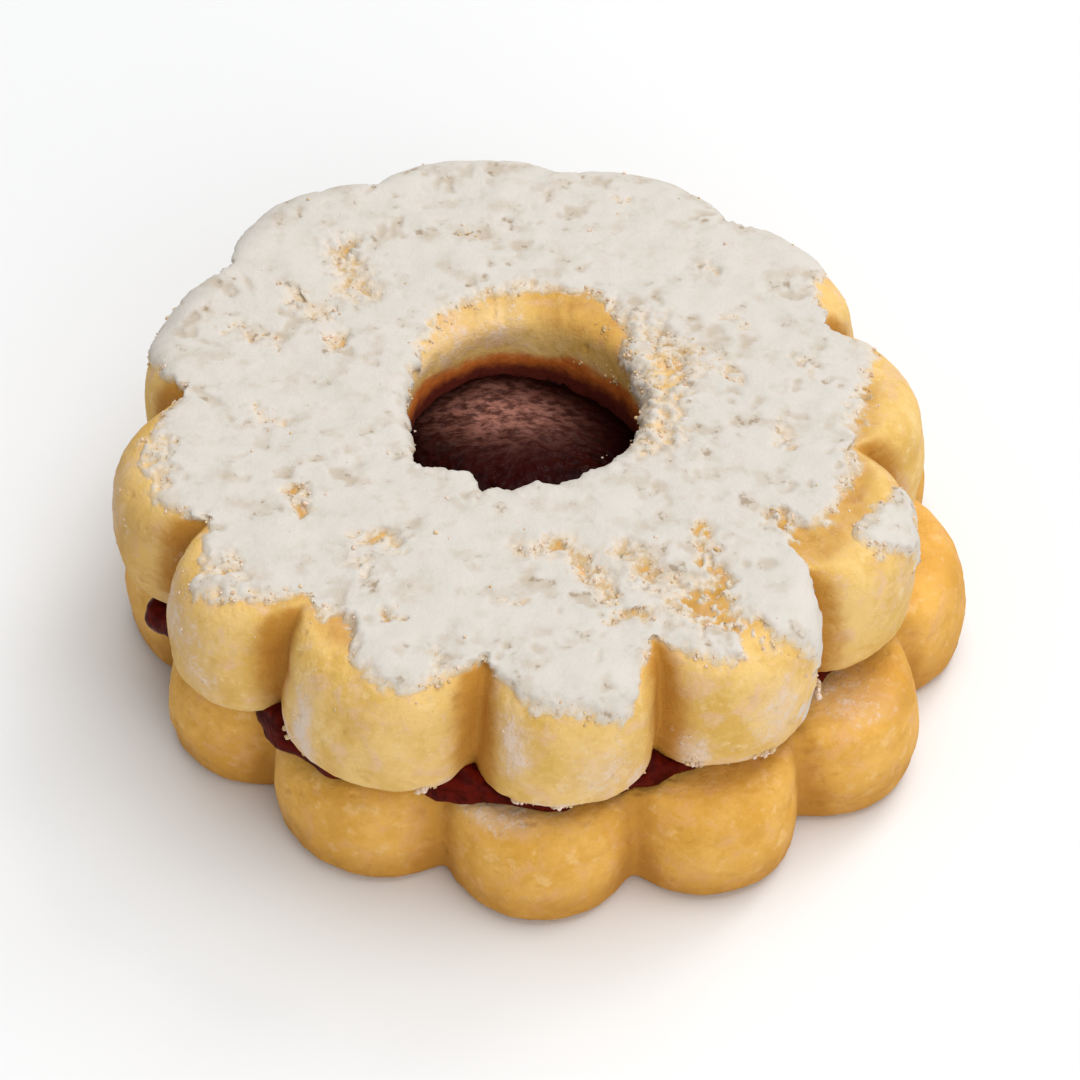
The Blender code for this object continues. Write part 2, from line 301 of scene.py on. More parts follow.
class LinzerSugarSettings(PropertyGroup):
    """Sizes, counts and colours of the icing sugar and the loose crumbs."""

    thickness: FloatProperty(
        name="Thickness", description="Usual thickness of the sugar", default=0.00050, unit="LENGTH")
    grains: IntProperty(name="Grains", description="Loose lumps of sugar", default=900, min=0, max=9000)
    crumbs: IntProperty(name="Crumbs", description="Loose golden crumbs", default=420, min=0, max=9000)
    colour: FloatVectorProperty(
        name="Sugar", description="Icing sugar", subtype="COLOR", default=(0.680, 0.630, 0.574))
    cool: FloatVectorProperty(
        name="Cooler Sugar", description="Icing sugar in its greyer patches", subtype="COLOR",
        default=(0.650, 0.614, 0.552))
    edge: FloatVectorProperty(
        name="Sugar Edge", description="Icing sugar at the coat's thin edges", subtype="COLOR",
        default=(0.74, 0.64, 0.52))
    # Also the colour that the coat's crumb is darkened towards as painted shade in the notches and at the
    # left.
    worn: FloatVectorProperty(
        name="Worn Crumb", description="Crumb beneath the coat where it has worn thin", subtype="COLOR",
        default=(0.43, 0.27, 0.10))
    thin: FloatVectorProperty(
        name="Dusted Sugar", description="Icing sugar dusted on the walls, tinted by the crumb",
        subtype="COLOR", default=(0.82, 0.625, 0.47))
    # Painted shade: crumb seen down the pits, darkened as if in shade.
    shaded_pit: FloatVectorProperty(
        name="Sugar Pit", description="Crumb seen down the smallest pits", subtype="COLOR",
        default=(0.29, 0.20, 0.115))
    # Painted shade: the colour that the sugar takes in its dents and smudges.
    shade: FloatVectorProperty(
        name="Sugar Shade", description="Icing sugar in its dents", subtype="COLOR",
        default=(0.55, 0.470, 0.375))
    crumb_colour: FloatVectorProperty(
        name="Crumb", description="Loose crumbs", subtype="COLOR", default=(0.72, 0.52, 0.27))


class LinzerStageSettings(PropertyGroup):
    """The floor, the lights and the camera."""

    elevation: FloatProperty(
        name="Camera Elevation", description="How steeply the camera looks down",
        default=math.radians(45.3), subtype="ANGLE")
    distance: FloatProperty(
        name="Camera Distance", description="Camera to the middle of the cookie",
        default=0.315, unit="LENGTH")
    floor: FloatVectorProperty(
        name="Floor", description="Plain pale floor", subtype="COLOR", default=(0.86, 0.865, 0.87))


# ---------------------------------------------------------------- random fields


def cell_number(x, y, z, seed):
    """A number from 0 to 1 for each whole-numbered cell: its three indices and the seed are each
    multiplied by a large odd number, added, and their bits folded and multiplied again."""
    mixed = (x * 374761393 + y * 668265263 + z * 2246822519 + seed * 3266489917) & 0xFFFFFFFF
    mixed = ((mixed ^ (mixed >> 15)) * 2654435761) & 0xFFFFFFFF
    mixed = ((mixed ^ (mixed >> 13)) * 1274126177) & 0xFFFFFFFF
    return (mixed ^ (mixed >> 16)) / 4294967295.0


def swell(points, size, seed):
    """Smooth random field from about -1 to 1, with bumps as wide as size: at each corner of a cell a
    random slope times the offset from it, blended across the cell by 6t^5 - 15t^4 + 10t^3."""
    place = points / size + 64.0
    corner = np.floor(place).astype(np.int64)
    offset = place - corner
    blend = offset ** 3 * (offset * (offset * 6 - 15) + 10)
    total = np.zeros(points.shape[:-1])
    for step in np.ndindex(2, 2, 2):
        near = corner + step
        away = offset - step
        x, y, z = near[..., 0], near[..., 1], near[..., 2]
        slopes = [cell_number(x, y, z, seed + 31 * axis) * 2 - 1 for axis in range(3)]
        value = sum(slope * away[..., axis] for axis, slope in enumerate(slopes))
        weight = np.prod(np.where(step, blend, 1 - blend), axis=-1)
        total += weight * value
    return total * 1.6


def roughness(points, size, octaves, seed):
    """Sum of swells, each half as wide and a little over half as high as the one before."""
    total = np.zeros(points.shape[:-1])
    height = 1.0
    for octave in range(octaves):
        total += height * swell(points, size / 2 ** octave, seed + octave)
        height *= 0.55
    return total


def ease(value, low, high):
    """0 below low, 1 above high, and 3t^2 - 2t^3 between them. High may be the lesser."""
    share = np.clip((value - low) / (high - low), 0, 1)
    return share * share * (3 - 2 * share)


def toward(angle, direction, low, high):
    """Eases from 0 to 1 as the cosine of the turn from a direction, in degrees, goes from low to high."""
    return ease(np.cos(angle - math.radians(direction)), low, high)


def bell(value, middle, half):
    """Bell curve: 1 at the middle, and 1/e at half away from it."""
    return np.exp(-((value - middle) / half) ** 2)


# ---------------------------------------------------------------- shapes


def notch_directions(outline):
    """Directions of an outline's notches, in degrees, and the first one again a full turn on."""
    starts = outline.first_notch + LOBE_STEP * np.arange(LOBES) + np.array(outline.turns, float)
    return np.append(starts, starts[0] + 360)


def turn_away(degrees, direction):
    """Signed turn from a direction, from -180 to 180 degrees."""
    return (degrees - direction + 180) % 360 - 180


def bells(angle, places):
    """Sum of bell curves over direction: each place gives its direction and half width in degrees,
    and its height."""
    degrees = np.degrees(angle)
    return sum(
        height * bell(turn_away(degrees, direction), 0, width) for direction, width, height in places)


def lobe_outline(angle, outline, settings, softness=None):
    """Radius of the scalloped outline, and its rise from 0 in a notch to 1 at a crest.
    Between two notches the outline is an arc of the given bow, rounded off near its ends by
    sqrt(arc^2 + softness^2); each lobe's creep runs half-way into its neighbours'."""
    softness = softness or outline.softness
    starts = notch_directions(outline)
    degrees = (np.degrees(angle) - starts[0]) % 360 + starts[0]
    lobe = np.clip(np.searchsorted(starts, degrees, side="right") - 1, 0, LOBES - 1)
    share = (degrees - starts[lobe]) / (starts[lobe + 1] - starts[lobe])
    chord = math.sqrt(1 - outline.bow ** 2)
    arc = (np.sqrt(1 - (outline.bow * (2 * share - 1)) ** 2) - chord) / (1 - chord)
    rise = (np.hypot(arc, softness) - softness) / (math.hypot(1, softness) - softness)
    creep = np.array(outline.creeps) * MM
    neighbour = np.where(share < 0.5, creep[lobe - 1], creep[(lobe + 1) % LOBES])
    crept = creep[lobe] + (neighbour - creep[lobe]) * np.abs(share - 0.5)
    return settings.crest_radius + crept - settings.notch_depth * (1 - rise), rise


def profile(low, high, shoulder, face_span, rim=0.0, window_radius=0.0):
    """Table of the path up a biscuit's wall, as at a crest: a quarter circle out of the foot, the
    bulging wall, a quarter circle over the shoulder and straight across the face; then, with a rim,
    a quarter circle down into the window and its wall, which flares at its foot. Its columns are those
    named above."""
    turn = np.linspace(0, math.pi / 2, ARC_STEPS)
    rise = np.linspace(0, 1, ARC_STEPS)[1:]
    none = np.zeros(ARC_STEPS)
    foot = np.column_stack((FOOT * (1 - np.sin(turn)), none, low + FOOT * (1 - np.cos(turn))))
    straight = low + FOOT + (high - shoulder - low - FOOT) * rise
    wall = np.column_stack((-WALL_BULGE * np.sin(math.pi * rise), none[1:], straight))
    over = turn[1:]
    bend_height = high - shoulder * (1 - np.sin(over))
    bend = np.column_stack((none[1:], shoulder * (1 - np.cos(over)), bend_height))
    outside = np.vstack((foot, wall, bend))
    start = window_radius + rim
    outside = np.column_stack((outside, np.zeros(len(outside)), np.full(len(outside), start)))
    inside = [(0.0, shoulder, high, 1.0, start)]
    if rim:
        rolled = [(high - rim * (1 - math.cos(t)), window_radius + rim * (1 - math.sin(t))) for t in over]
        rolled += [(low + MM, window_radius), (low, window_radius + MM)]
        inside += [(0.0, shoulder, height, 1.0, radius) for height, radius in rolled]
    table = np.vstack((outside, inside))
    steps = np.hypot(np.diff(table[:, 0] + table[:, 1] + table[:, 4]), np.diff(table[:, 2]))
    steps[np.diff(table[:, 3]) > 0] = face_span
    return np.column_stack((np.concatenate(([0.0], np.cumsum(steps))), table))


def on_path(table, path, column):
    """A column of a profile's table at each distance along the path."""
    return np.interp(path, table[:, DISTANCE], table[:, column])


def path_marks(table):
    """Distances along a profile: the start of the face, its end and the path's own end."""
    face_start = table[table[:, ACROSS] == 0][-1, DISTANCE]
    face_end = table[table[:, ACROSS] == 1][0, DISTANCE]
    return face_start, face_end, table[-1, DISTANCE]


def top_table(settings):
    """Profile of the top biscuit, under its sugar."""
    span = settings.crest_radius - TOP_SHOULDER - settings.window_radius - RIM
    face = SUGAR_TOP - SUGAR_ALLOWANCE
    return profile(TOP_UNDERSIDE, face, TOP_SHOULDER, span, RIM, settings.window_radius)


def lean(angle, drop):
    """Turn of the outline that slants the front left grooves: they run to the left going down, by the
    full lean at 225 degrees, by a cosine's share of it to each side, and not at all beyond 100 degrees
    from there."""
    away = np.radians(np.abs(turn_away(np.degrees(angle), 225)))
    return GROOVE_LEAN * (drop - 0.5) * np.clip(np.cos(away * 0.9), 0, 1)


def top_surface(angle, path, settings, soft=False):
    """Points of the smooth top biscuit for arrays of angles and of distances along its profile: the
    outline less its insets, blended across the face into the circle of the window. Soft gives the
    biscuit as sugar smooths it: its notches are rounder and without their creases, and at the back
    partly filled."""
    table = top_table(settings)
    height = on_path(table, path, HEIGHT)
    drop = (SUGAR_TOP - height) / (SUGAR_TOP - TOP_UNDERSIDE)
    radius, rise = lobe_outline(angle + lean(angle, drop), TOP, settings, SMOOTHED_NOTCH if soft else None)
    behind = toward(angle, 90, 0.1, 0.6)
    if soft:
        filled = (NOTCH_FILL * behind - 0.1 * MM) * (1 - rise)
    else:
        filled = -settings.crease * (1 - rise) ** 3
    inset = on_path(table, path, FOOT_INSET) * (1 + bells(angle, FOOT_TUCKS))
    inset = inset + on_path(table, path, SHOULDER_INSET) * (0.5 + 0.5 * rise)
    radius = radius + filled - inset
    across = on_path(table, path, ACROSS)
    inner = on_path(table, path, INNER) + bells(angle, WINDOW_BULGES) * MM
    cos, sin = np.cos(angle), np.sin(angle)
    x = (1 - across) * (TOP.middle[0] + radius * cos) + across * (WINDOW_CENTRE[0] + inner * cos)
    y = (1 - across) * (TOP.middle[1] + radius * sin) + across * (WINDOW_CENTRE[1] + inner * sin)
    return np.stack(np.broadcast_arrays(x, y, height), -1)


def bottom_surface(angle, path, table, settings):
    """Points of the smooth bottom biscuit: the outline less its insets, drawn in across the face."""
    radius, rise = lobe_outline(angle, BOTTOM, settings)
    radius = radius - settings.bottom_crease * (1 - rise) ** 3 - on_path(table, path, FOOT_INSET)
    radius = radius - on_path(table, path, SHOULDER_INSET) * (0.5 + 0.5 * rise)
    radius = radius * (1 - on_path(table, path, ACROSS))
    x = BOTTOM.middle[0] + radius * np.cos(angle)
    y = BOTTOM.middle[1] + radius * np.sin(angle)
    return np.stack(np.broadcast_arrays(x, y, on_path(table, path, HEIGHT)), -1)


def facing(make, angle, path, step=0.05 * MM):
    """Outward directions of a surface: the cross product of its slopes round the ring and along the
    path, each over a small step to both sides; round the ring it is that step at a radius of 20 mm."""
    swing = step / (20 * MM)
    around = make(angle + swing, path) - make(angle - swing, path)
    along = make(angle, path + step) - make(angle, path - step)
    out = np.cross(around, along)
    return out / np.maximum(np.linalg.norm(out, axis=-1, keepdims=True), 1e-12)


def crumb_height(points, settings, seed):
    """Relief of baked crumb: broad unevenness, small bumps and a few open pits of uneven shape."""
    broad = 1.5 * roughness(points, 5 * MM, 2, seed)
    small = 0.55 * roughness(points, 1.2 * MM, 3, seed + 10)
    pits = ease(roughness(points, 1.0 * MM, 2, seed + 20), 0.62, 0.95)
    return settings.crumb_relief * (broad + small - 1.6 * pits)


def top_crumb(angle, path, settings):
    """The top biscuit: its smooth points, its points with the crumb's relief, which is stronger over
    the torn face, and outward directions."""
    base = top_surface(angle, path, settings)
    out = facing(lambda a, p: top_surface(a, p, settings), angle, path)
    face_start, face_end, _ = path_marks(top_table(settings))
    face = ease(path, face_start - 1 * MM, face_start + 1 * MM) * ease(path, face_end + 1 * MM, face_end)
    relief = crumb_height(base, settings, TOP_SEED) * (1 + settings.face_roughness * face)
    return base, base + out * relief[..., None], out


# ---------------------------------------------------------------- where the sugar lies


def lap_past_face(angle):
    """How far the sugar laps past the edge of the face, in millimetres: the value of each notch and
    each crest, joined by a steep rise out of the notch, plus the further laps as bell curves."""
    notches = notch_directions(TOP)
    marks = np.empty(2 * LOBES + 1)
    marks[0::2] = notches
    marks[1::2] = (notches[:-1] + notches[1:]) / 2
    degrees = (np.degrees(angle) - marks[0]) % 360 + marks[0]
    here = np.clip(np.searchsorted(marks, degrees, side="right") - 1, 0, 2 * LOBES - 1)
    lobe, climbing = here // 2, here % 2 == 0
    share = (degrees - marks[here]) / (marks[here + 1] - marks[here])
    at_crest = ease(np.where(climbing, share, 1 - share), -0.15, 0.85) ** 0.7
    at_notch = np.array(LAP_AT_NOTCH)[np.where(climbing, lobe, (lobe + 1) % LOBES)]
    lap = at_notch + (np.array(LAP_AT_CREST)[lobe] - at_notch) * at_crest
    return lap + bells(angle, FURTHER_LAPS)


def lap_into_window(angle):
    """How far the sugar laps past the start of the window's rim, in millimetres."""
    directions, laps = np.array(LAP_INTO_WINDOW).T
    return np.interp(np.degrees(angle), directions, laps, period=360)


def streak_gap(flat, streak):
    """Distance in the plane from each point to the line between a streak's two ends."""
    start, end = np.array(streak[:2]), np.array(streak[2:4])
    along = end - start
    share = np.clip(((flat - start) @ along) / (along @ along), 0, 1)
    return np.linalg.norm(flat - start - share[..., None] * along, axis=-1)


def sugar_share(base, angle, path, settings):
    """How fully the sugar covers each point, from 0, bare, to 1. The load of sugar rises over 3.4 mm
    across its edge, which is ragged, to more than enough; bad streaks take a share away as bell curves,
    all but what clings in lumps, and islands put it back; then its grain is added, which shows wherever
    the load is short. Returns the share and how worn the bad streaks are."""
    face_start, face_end, _ = path_marks(top_table(settings))
    ragged = 0.55 * roughness(base, 2.6 * MM, 2, EDGE_SEED)
    ragged = ragged + 0.45 * roughness(base, 0.9 * MM, 2, EDGE_SEED + 10)
    outer = (path - face_start) / MM + lap_past_face(angle)
    inner = (face_end - path) / MM + lap_into_window(angle)
    load = PLENTY * ease(np.minimum(outer, inner) + ragged, -1.5, 1.9)
    wander = np.stack([swell(base, 1.8 * MM, EDGE_SEED + more) for more in (20, 25)], -1)
    flat = base[..., :2] / MM + 0.8 * wander
    left = np.ones(base.shape[:-1])
    for streak in BARE_STREAKS:
        bare = streak[5] * bell(streak_gap(flat, streak), 0, streak[4])
        left = left * (1 - np.minimum(0.98, bare))
    clinging = CLINGING * ease(roughness(base, 0.8 * MM, 2, EDGE_SEED + 40), 0.08, 0.50)
    load = load * (left + (1 - left) * clinging)
    for island in SUGAR_ISLANDS:
        load = np.maximum(load, PLENTY * ease(island[4] - streak_gap(flat, island), -0.8, 0.9))
    grain = 0.26 * roughness(base, 1.0 * MM, 2, EDGE_SEED + 30)
    grain = grain + 0.16 * roughness(base, 0.45 * MM, 2, EDGE_SEED + 35)
    return np.clip(load + grain * ease(load, 0.0, 0.35), 0, 1), 1 - left


def beside_window(angle, path, settings):
    """1 on the crumbled stretch at the window's right, fading out around it."""
    _, face_end, _ = path_marks(top_table(settings))
    return ease(path, face_end - 4 * MM, face_end - 1 * MM) * toward(angle, 12, 0.65, 0.92)


def browning_and_shade(angle, path, settings):
    """How far the top biscuit is darkened towards browned crumb: fully in its notches and by a third on
    its wall at the left, both painted shade; about half over its face, where it is browned, and on the rim
    of the window at the back right."""
    face_start, face_end, _ = path_marks(top_table(settings))
    _, rise = lobe_outline(angle + lean(angle, 0.5), TOP, settings)
    # Painted shade: the notches and the wall at the left are darkened as if browned.
    notch = ease(rise, 0.66, 0.05) * ease(path, face_start + 1 * MM, face_start - 2 * MM)
    face = ease(path, face_start - 1.5 * MM, face_start + 1 * MM)
    face = face * ease(path, face_end + 3 * MM, face_end + 1 * MM)
    rim = ease(path, face_end - 2.5 * MM, face_end - 0.5 * MM) * toward(angle, BACK_RIGHT, 0.95, 0.80)
    left = toward(angle, 195, 0.84, 0.99) * ease(path, face_start, face_start - 4 * MM)
    return np.maximum(np.maximum(notch, 0.34 * left), 0.55 * face * (1 - rim))


def sugar_surface(angle, path, settings, sugar):
    """The sugar's upper surface. Where there is sugar enough it lies its own thickness off the
    softened biscuit, with drifts and clustered dents; where it fails it dips under the crumb, so that
    its edge is the line where the two meet. Returns points, the share covered, how much painted shade
    the sugar takes in its dents, torn places and rubble, and how far the biscuit beneath it is darkened,
    which is browning and painted shade."""
    base, crumb, out = top_crumb(angle, path, settings)
    soft = top_surface(angle, path, settings, soft=True)
    soft_out = facing(lambda a, p: top_surface(a, p, settings, soft=True), angle, path, 0.15 * MM)
    share, worn = sugar_share(base, angle, path, settings)
    full = ease(share, 0.35, 1.0)
    drifts = DRIFT * roughness(base, 4 * MM, 2, SUGAR_SEED)
    clustered = 0.15 + 0.85 * ease(swell(base, 5 * MM, SUGAR_SEED + 20), -0.15, 0.35)
    dents = clustered * ease(roughness(base, 1.5 * MM, 2, SUGAR_SEED + 30), 0.10, 0.70)
    beside = beside_window(angle, path, settings)
    rubble = RUBBLE * beside * roughness(base, 0.9 * MM, 3, SUGAR_SEED + 50)
    near_rim = bell(path, path_marks(top_table(settings))[1] + 1.2 * MM, 1.1 * MM)
    torn_rim = 0.40 * roughness(base, 3.2 * MM, 2, SUGAR_SEED + 40)
    torn_rim = torn_rim + 0.32 * roughness(base, 1.1 * MM, 2, SUGAR_SEED + 45)
    ledge = near_rim * toward(angle, 270, 0.2, 0.7) * (0.15 + torn_rim) * MM
    height = (sugar.thickness + TUCK_UNDER) * ease(share, 0.0, 1.0) - TUCK_UNDER
    height = height - FURTHER_DIP * ease(share, 0.2, 0.0)
    height = height + full * (drifts + ledge - DENT * dents) + rubble * ease(share, 0.1, 0.5)
    under = crumb * (1 - full[..., None]) + soft * full[..., None]
    away = out * (1 - full[..., None]) + soft_out * full[..., None]
    # Painted shade: how much of the Shade colour the sugar takes, in its dents, torn edges and rubble.
    torn = 0.75 * ease(share, 0.25, 0.45) * ease(share, 1.0, 0.70)
    rough = 0.85 * np.maximum(beside, ease(worn, 0.15, 0.6))
    patchy = ease(roughness(base, 0.7 * MM, 2, SUGAR_SEED + 60), -0.05, 0.40)
    shaded = np.maximum(dents, patchy * np.maximum(torn, rough))
    return under + away * height[..., None], share, shaded, browning_and_shade(angle, path, settings)


def wall_dust(angle, height):
    """How thickly sugar is dusted down the outer wall: a bell curve for each dusted place."""
    degrees, level = np.degrees(angle), height / MM
    total = np.zeros(np.broadcast(angle, height).shape)
    for direction, width, middle, half, amount in WALL_DUST:
        patch = bell(turn_away(degrees, direction), 0, width) * bell(level, middle, half)
        total = np.maximum(total, amount * patch)
    return total


# ---------------------------------------------------------------- meshes


def skin(counts, joined=False):
    """Faces between rings of vertices, given each ring's count. Equal rings are joined by quads; a
    ring of twice its neighbour's count by three triangles to each pair; a ring of one point by a fan.
    With joined, the last ring is also bridged back to the first."""
    starts = np.concatenate(([0], np.cumsum(counts)))
    quads, triangles = [np.empty((0, 4), int)], [np.empty((0, 3), int)]
    for low in range(len(counts) if joined else len(counts) - 1):
        high = (low + 1) % len(counts)
        if counts[low] == counts[high]:
            i = np.arange(counts[low])
            j = (i + 1) % counts[low]
            a, b = starts[low], starts[high]
            quads.append(np.column_stack((a + i, a + j, b + j, b + i)))
            continue
        wide, narrow = (low, high) if counts[low] > counts[high] else (high, low)
        many, few, a, b = counts[wide], counts[narrow], starts[wide], starts[narrow]
        if few == 1:
            i = np.arange(many)
            strips = [(a + i, a + (i + 1) % many, np.full_like(i, b))]
        else:
            i = np.arange(few)
            j = (i + 1) % few
            first, middle, after = a + 2 * i, a + 2 * i + 1, a + (2 * i + 2) % many
            strips = [(first, middle, b + i), (middle, b + j, b + i), (middle, after, b + j)]
        triangles += [np.column_stack(strip if wide == low else strip[::-1]) for strip in strips]
    return np.concatenate(quads), np.concatenate(triangles)


def mesh_piece(name, points, quads, triangles, material, masks=None, smooth=True):
    """A mesh object from arrays of points and faces, with each mask as a point attribute."""
    mesh = bpy.data.meshes.new(name)
    mesh.vertices.add(len(points))
    mesh.vertices.foreach_set("co", np.asarray(points, np.float32).ravel())
    corners = np.concatenate((np.ravel(quads), np.ravel(triangles))).astype(np.int32)
    mesh.loops.add(len(corners))
    mesh.loops.foreach_set("vertex_index", corners)
    starts = np.concatenate((4 * np.arange(len(quads)), 4 * len(quads) + 3 * np.arange(len(triangles))))
    mesh.polygons.add(len(starts))
    mesh.polygons.foreach_set("loop_start", starts.astype(np.int32))
    mesh.update(calc_edges=True)
    mesh.validate()
    if smooth:
        mesh.shade_smooth()
    for mask, values in (masks or {}).items():
        layer = mesh.attributes.new(mask, "FLOAT", "POINT")
        layer.data.foreach_set("value", np.asarray(values, np.float32).ravel())
    mesh.materials.append(material)
    piece = bpy.data.objects.new(name, mesh)
    bpy.context.scene.collection.objects.link(piece)
    return piece


def place(piece, slot, *nodes):
    """Ride the cookie's body and stand for the CAD nodes named, which are hidden. The slot is not used."""
    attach(piece, BODY)
    if nodes:
        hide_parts(*nodes)


def ring_angles(columns):
    """Evenly spaced angles of one ring."""
    return np.linspace(0, 2 * math.pi, columns, endpoint=False)


def make_bottom_crumb(settings):
    """The bottom biscuit: rings up its scalloped wall, closed by a flat base and its upper face. It is
    darkened in its notches as painted shade, down to just above the base, and browned in a few spots on
    its shoulder."""
    table = profile(0.0, BOTTOM_FACE, BOTTOM_SHOULDER, settings.crest_radius - BOTTOM_SHOULDER)
    face_start, face_end, _ = path_marks(table)
    edge = face_start + 2.2 * MM
    fine, coarse = np.linspace(0, edge, 78, endpoint=False), np.linspace(edge, face_end - 2 * MM, 15)
    path = np.concatenate((fine, coarse))
    angle, path = np.meshgrid(ring_angles(WALL_COLUMNS), path)
    base = bottom_surface(angle, path, table, settings)
    relief = crumb_height(base, settings, BOTTOM_SEED) * ease(base[..., 2], 0.0, 0.8 * MM)
    out = facing(lambda a, p: bottom_surface(a, p, table, settings), angle, path)
    points = (base + out * relief[..., None]).reshape(-1, 3)
    points = np.vstack(([(*BOTTOM.middle, 0.0)], points, [(*BOTTOM.middle, BOTTOM_FACE)]))
    _, rise = lobe_outline(angle, BOTTOM, settings)
    spots = bell(base[..., 2], BOTTOM_FACE - 1.0 * MM, 1.3 * MM) * bells(angle, BROWN_SPOTS)
    # Painted shade: the notches are darkened towards the browned colour.
    notches = ease(rise, 0.50, 0.0) * ease(base[..., 2], 0.0, 0.6 * MM)
    masks = {"powder": seam_dust(base), "browning_and_shade": np.maximum(notches, spots)}
    masks = {name: np.concatenate(([0], values.ravel(), [0])) for name, values in masks.items()}
    quads, triangles = skin([1] + [WALL_COLUMNS] * len(path) + [1])
    material = biscuit_material("baked_crumb", settings, settings.baked)
    piece = mesh_piece("bottom_crumb", points, quads, triangles, material, masks)
    place(piece, "baked_shortbread", "bottom_biscuit")


def seam_dust(points):
    """Sugar fallen on the bottom biscuit's shoulder, most of it under the front notches of the top."""
    angle = np.arctan2(points[..., 1], points[..., 0])
    return bells(angle, SEAM_DUST) * ease(points[..., 2], BOTTOM_FACE - 1.6 * MM, BOTTOM_FACE - 0.1 * MM)


def make_top_crumb(settings):
    """The top biscuit: rings up the wall, over the face and down the window, closed underneath. Sugar
    is dusted on the outer wall and, above the jam's stain, on the window's."""
    face_start, face_end, end = path_marks(top_table(settings))
    edge = face_start + 7.5 * MM
    path = np.concatenate((
        np.linspace(0, edge, 84, endpoint=False), np.linspace(edge, face_end - 2 * MM, 10, endpoint=False),
        np.linspace(face_end - 2 * MM, end, 36)))
    angle, path = np.meshgrid(ring_angles(WALL_COLUMNS), path)
    base, points, _ = top_crumb(angle, path, settings)
    share, _ = sugar_share(base, angle, path, settings)
    stain = jam_stain(base, angle, path > face_end)
    in_window = WINDOW_DUST * (path > face_end - 1.5 * MM) * ease(stain, 0.25, 0.0)
    in_window = in_window * toward(angle, BACK_RIGHT, 0.97, 0.80)
    dust = np.maximum(share, np.where(path < face_start, wall_dust(angle, base[..., 2]), in_window))
    masks = {"powder": dust, "browning_and_shade": browning_and_shade(angle, path, settings), "stain": stain}
    quads, triangles = skin([WALL_COLUMNS] * len(path), joined=True)
    material = biscuit_material("pale_crumb", settings, settings.shortbread)
    piece = mesh_piece("top_crumb", points.reshape(-1, 3), quads, triangles, material, masks)
    place(piece, "shortbread", "top_biscuit")


def jam_sag(points):
    """How far the jam in the window sinks: from nothing at its middle to most at the right wall."""
    rightward = (points[..., :2] - WINDOW_CENTRE) @ (math.cos(SAG_DIRECTION), math.sin(SAG_DIRECTION))
    return JAM_SAG * ease(rightward / SAG_REACH, 0.0, 1.0)


def jam_stain(points, angle, in_window):
    """How deeply jam has soaked the window's wall: 1 at the jam's edge, and nothing above a reach
    that wanders and is longest at the right and the left."""
    edge = JAM_TOP - 1.35 * MM - jam_sag(points)
    rightward = 0.5 + 0.5 * np.cos(angle - math.radians(35))
    leftward = 0.5 + 0.5 * np.cos(angle - math.radians(180))
    wander = swell(points, 3 * MM, STAIN_SEED)
    reach = (1.9 + 2.9 * rightward ** 3 + 2.4 * leftward ** 3 + 0.5 * wander) * MM
    return np.where(in_window, 1 - np.clip((points[..., 2] - edge) / reach, 0, 1), 0)


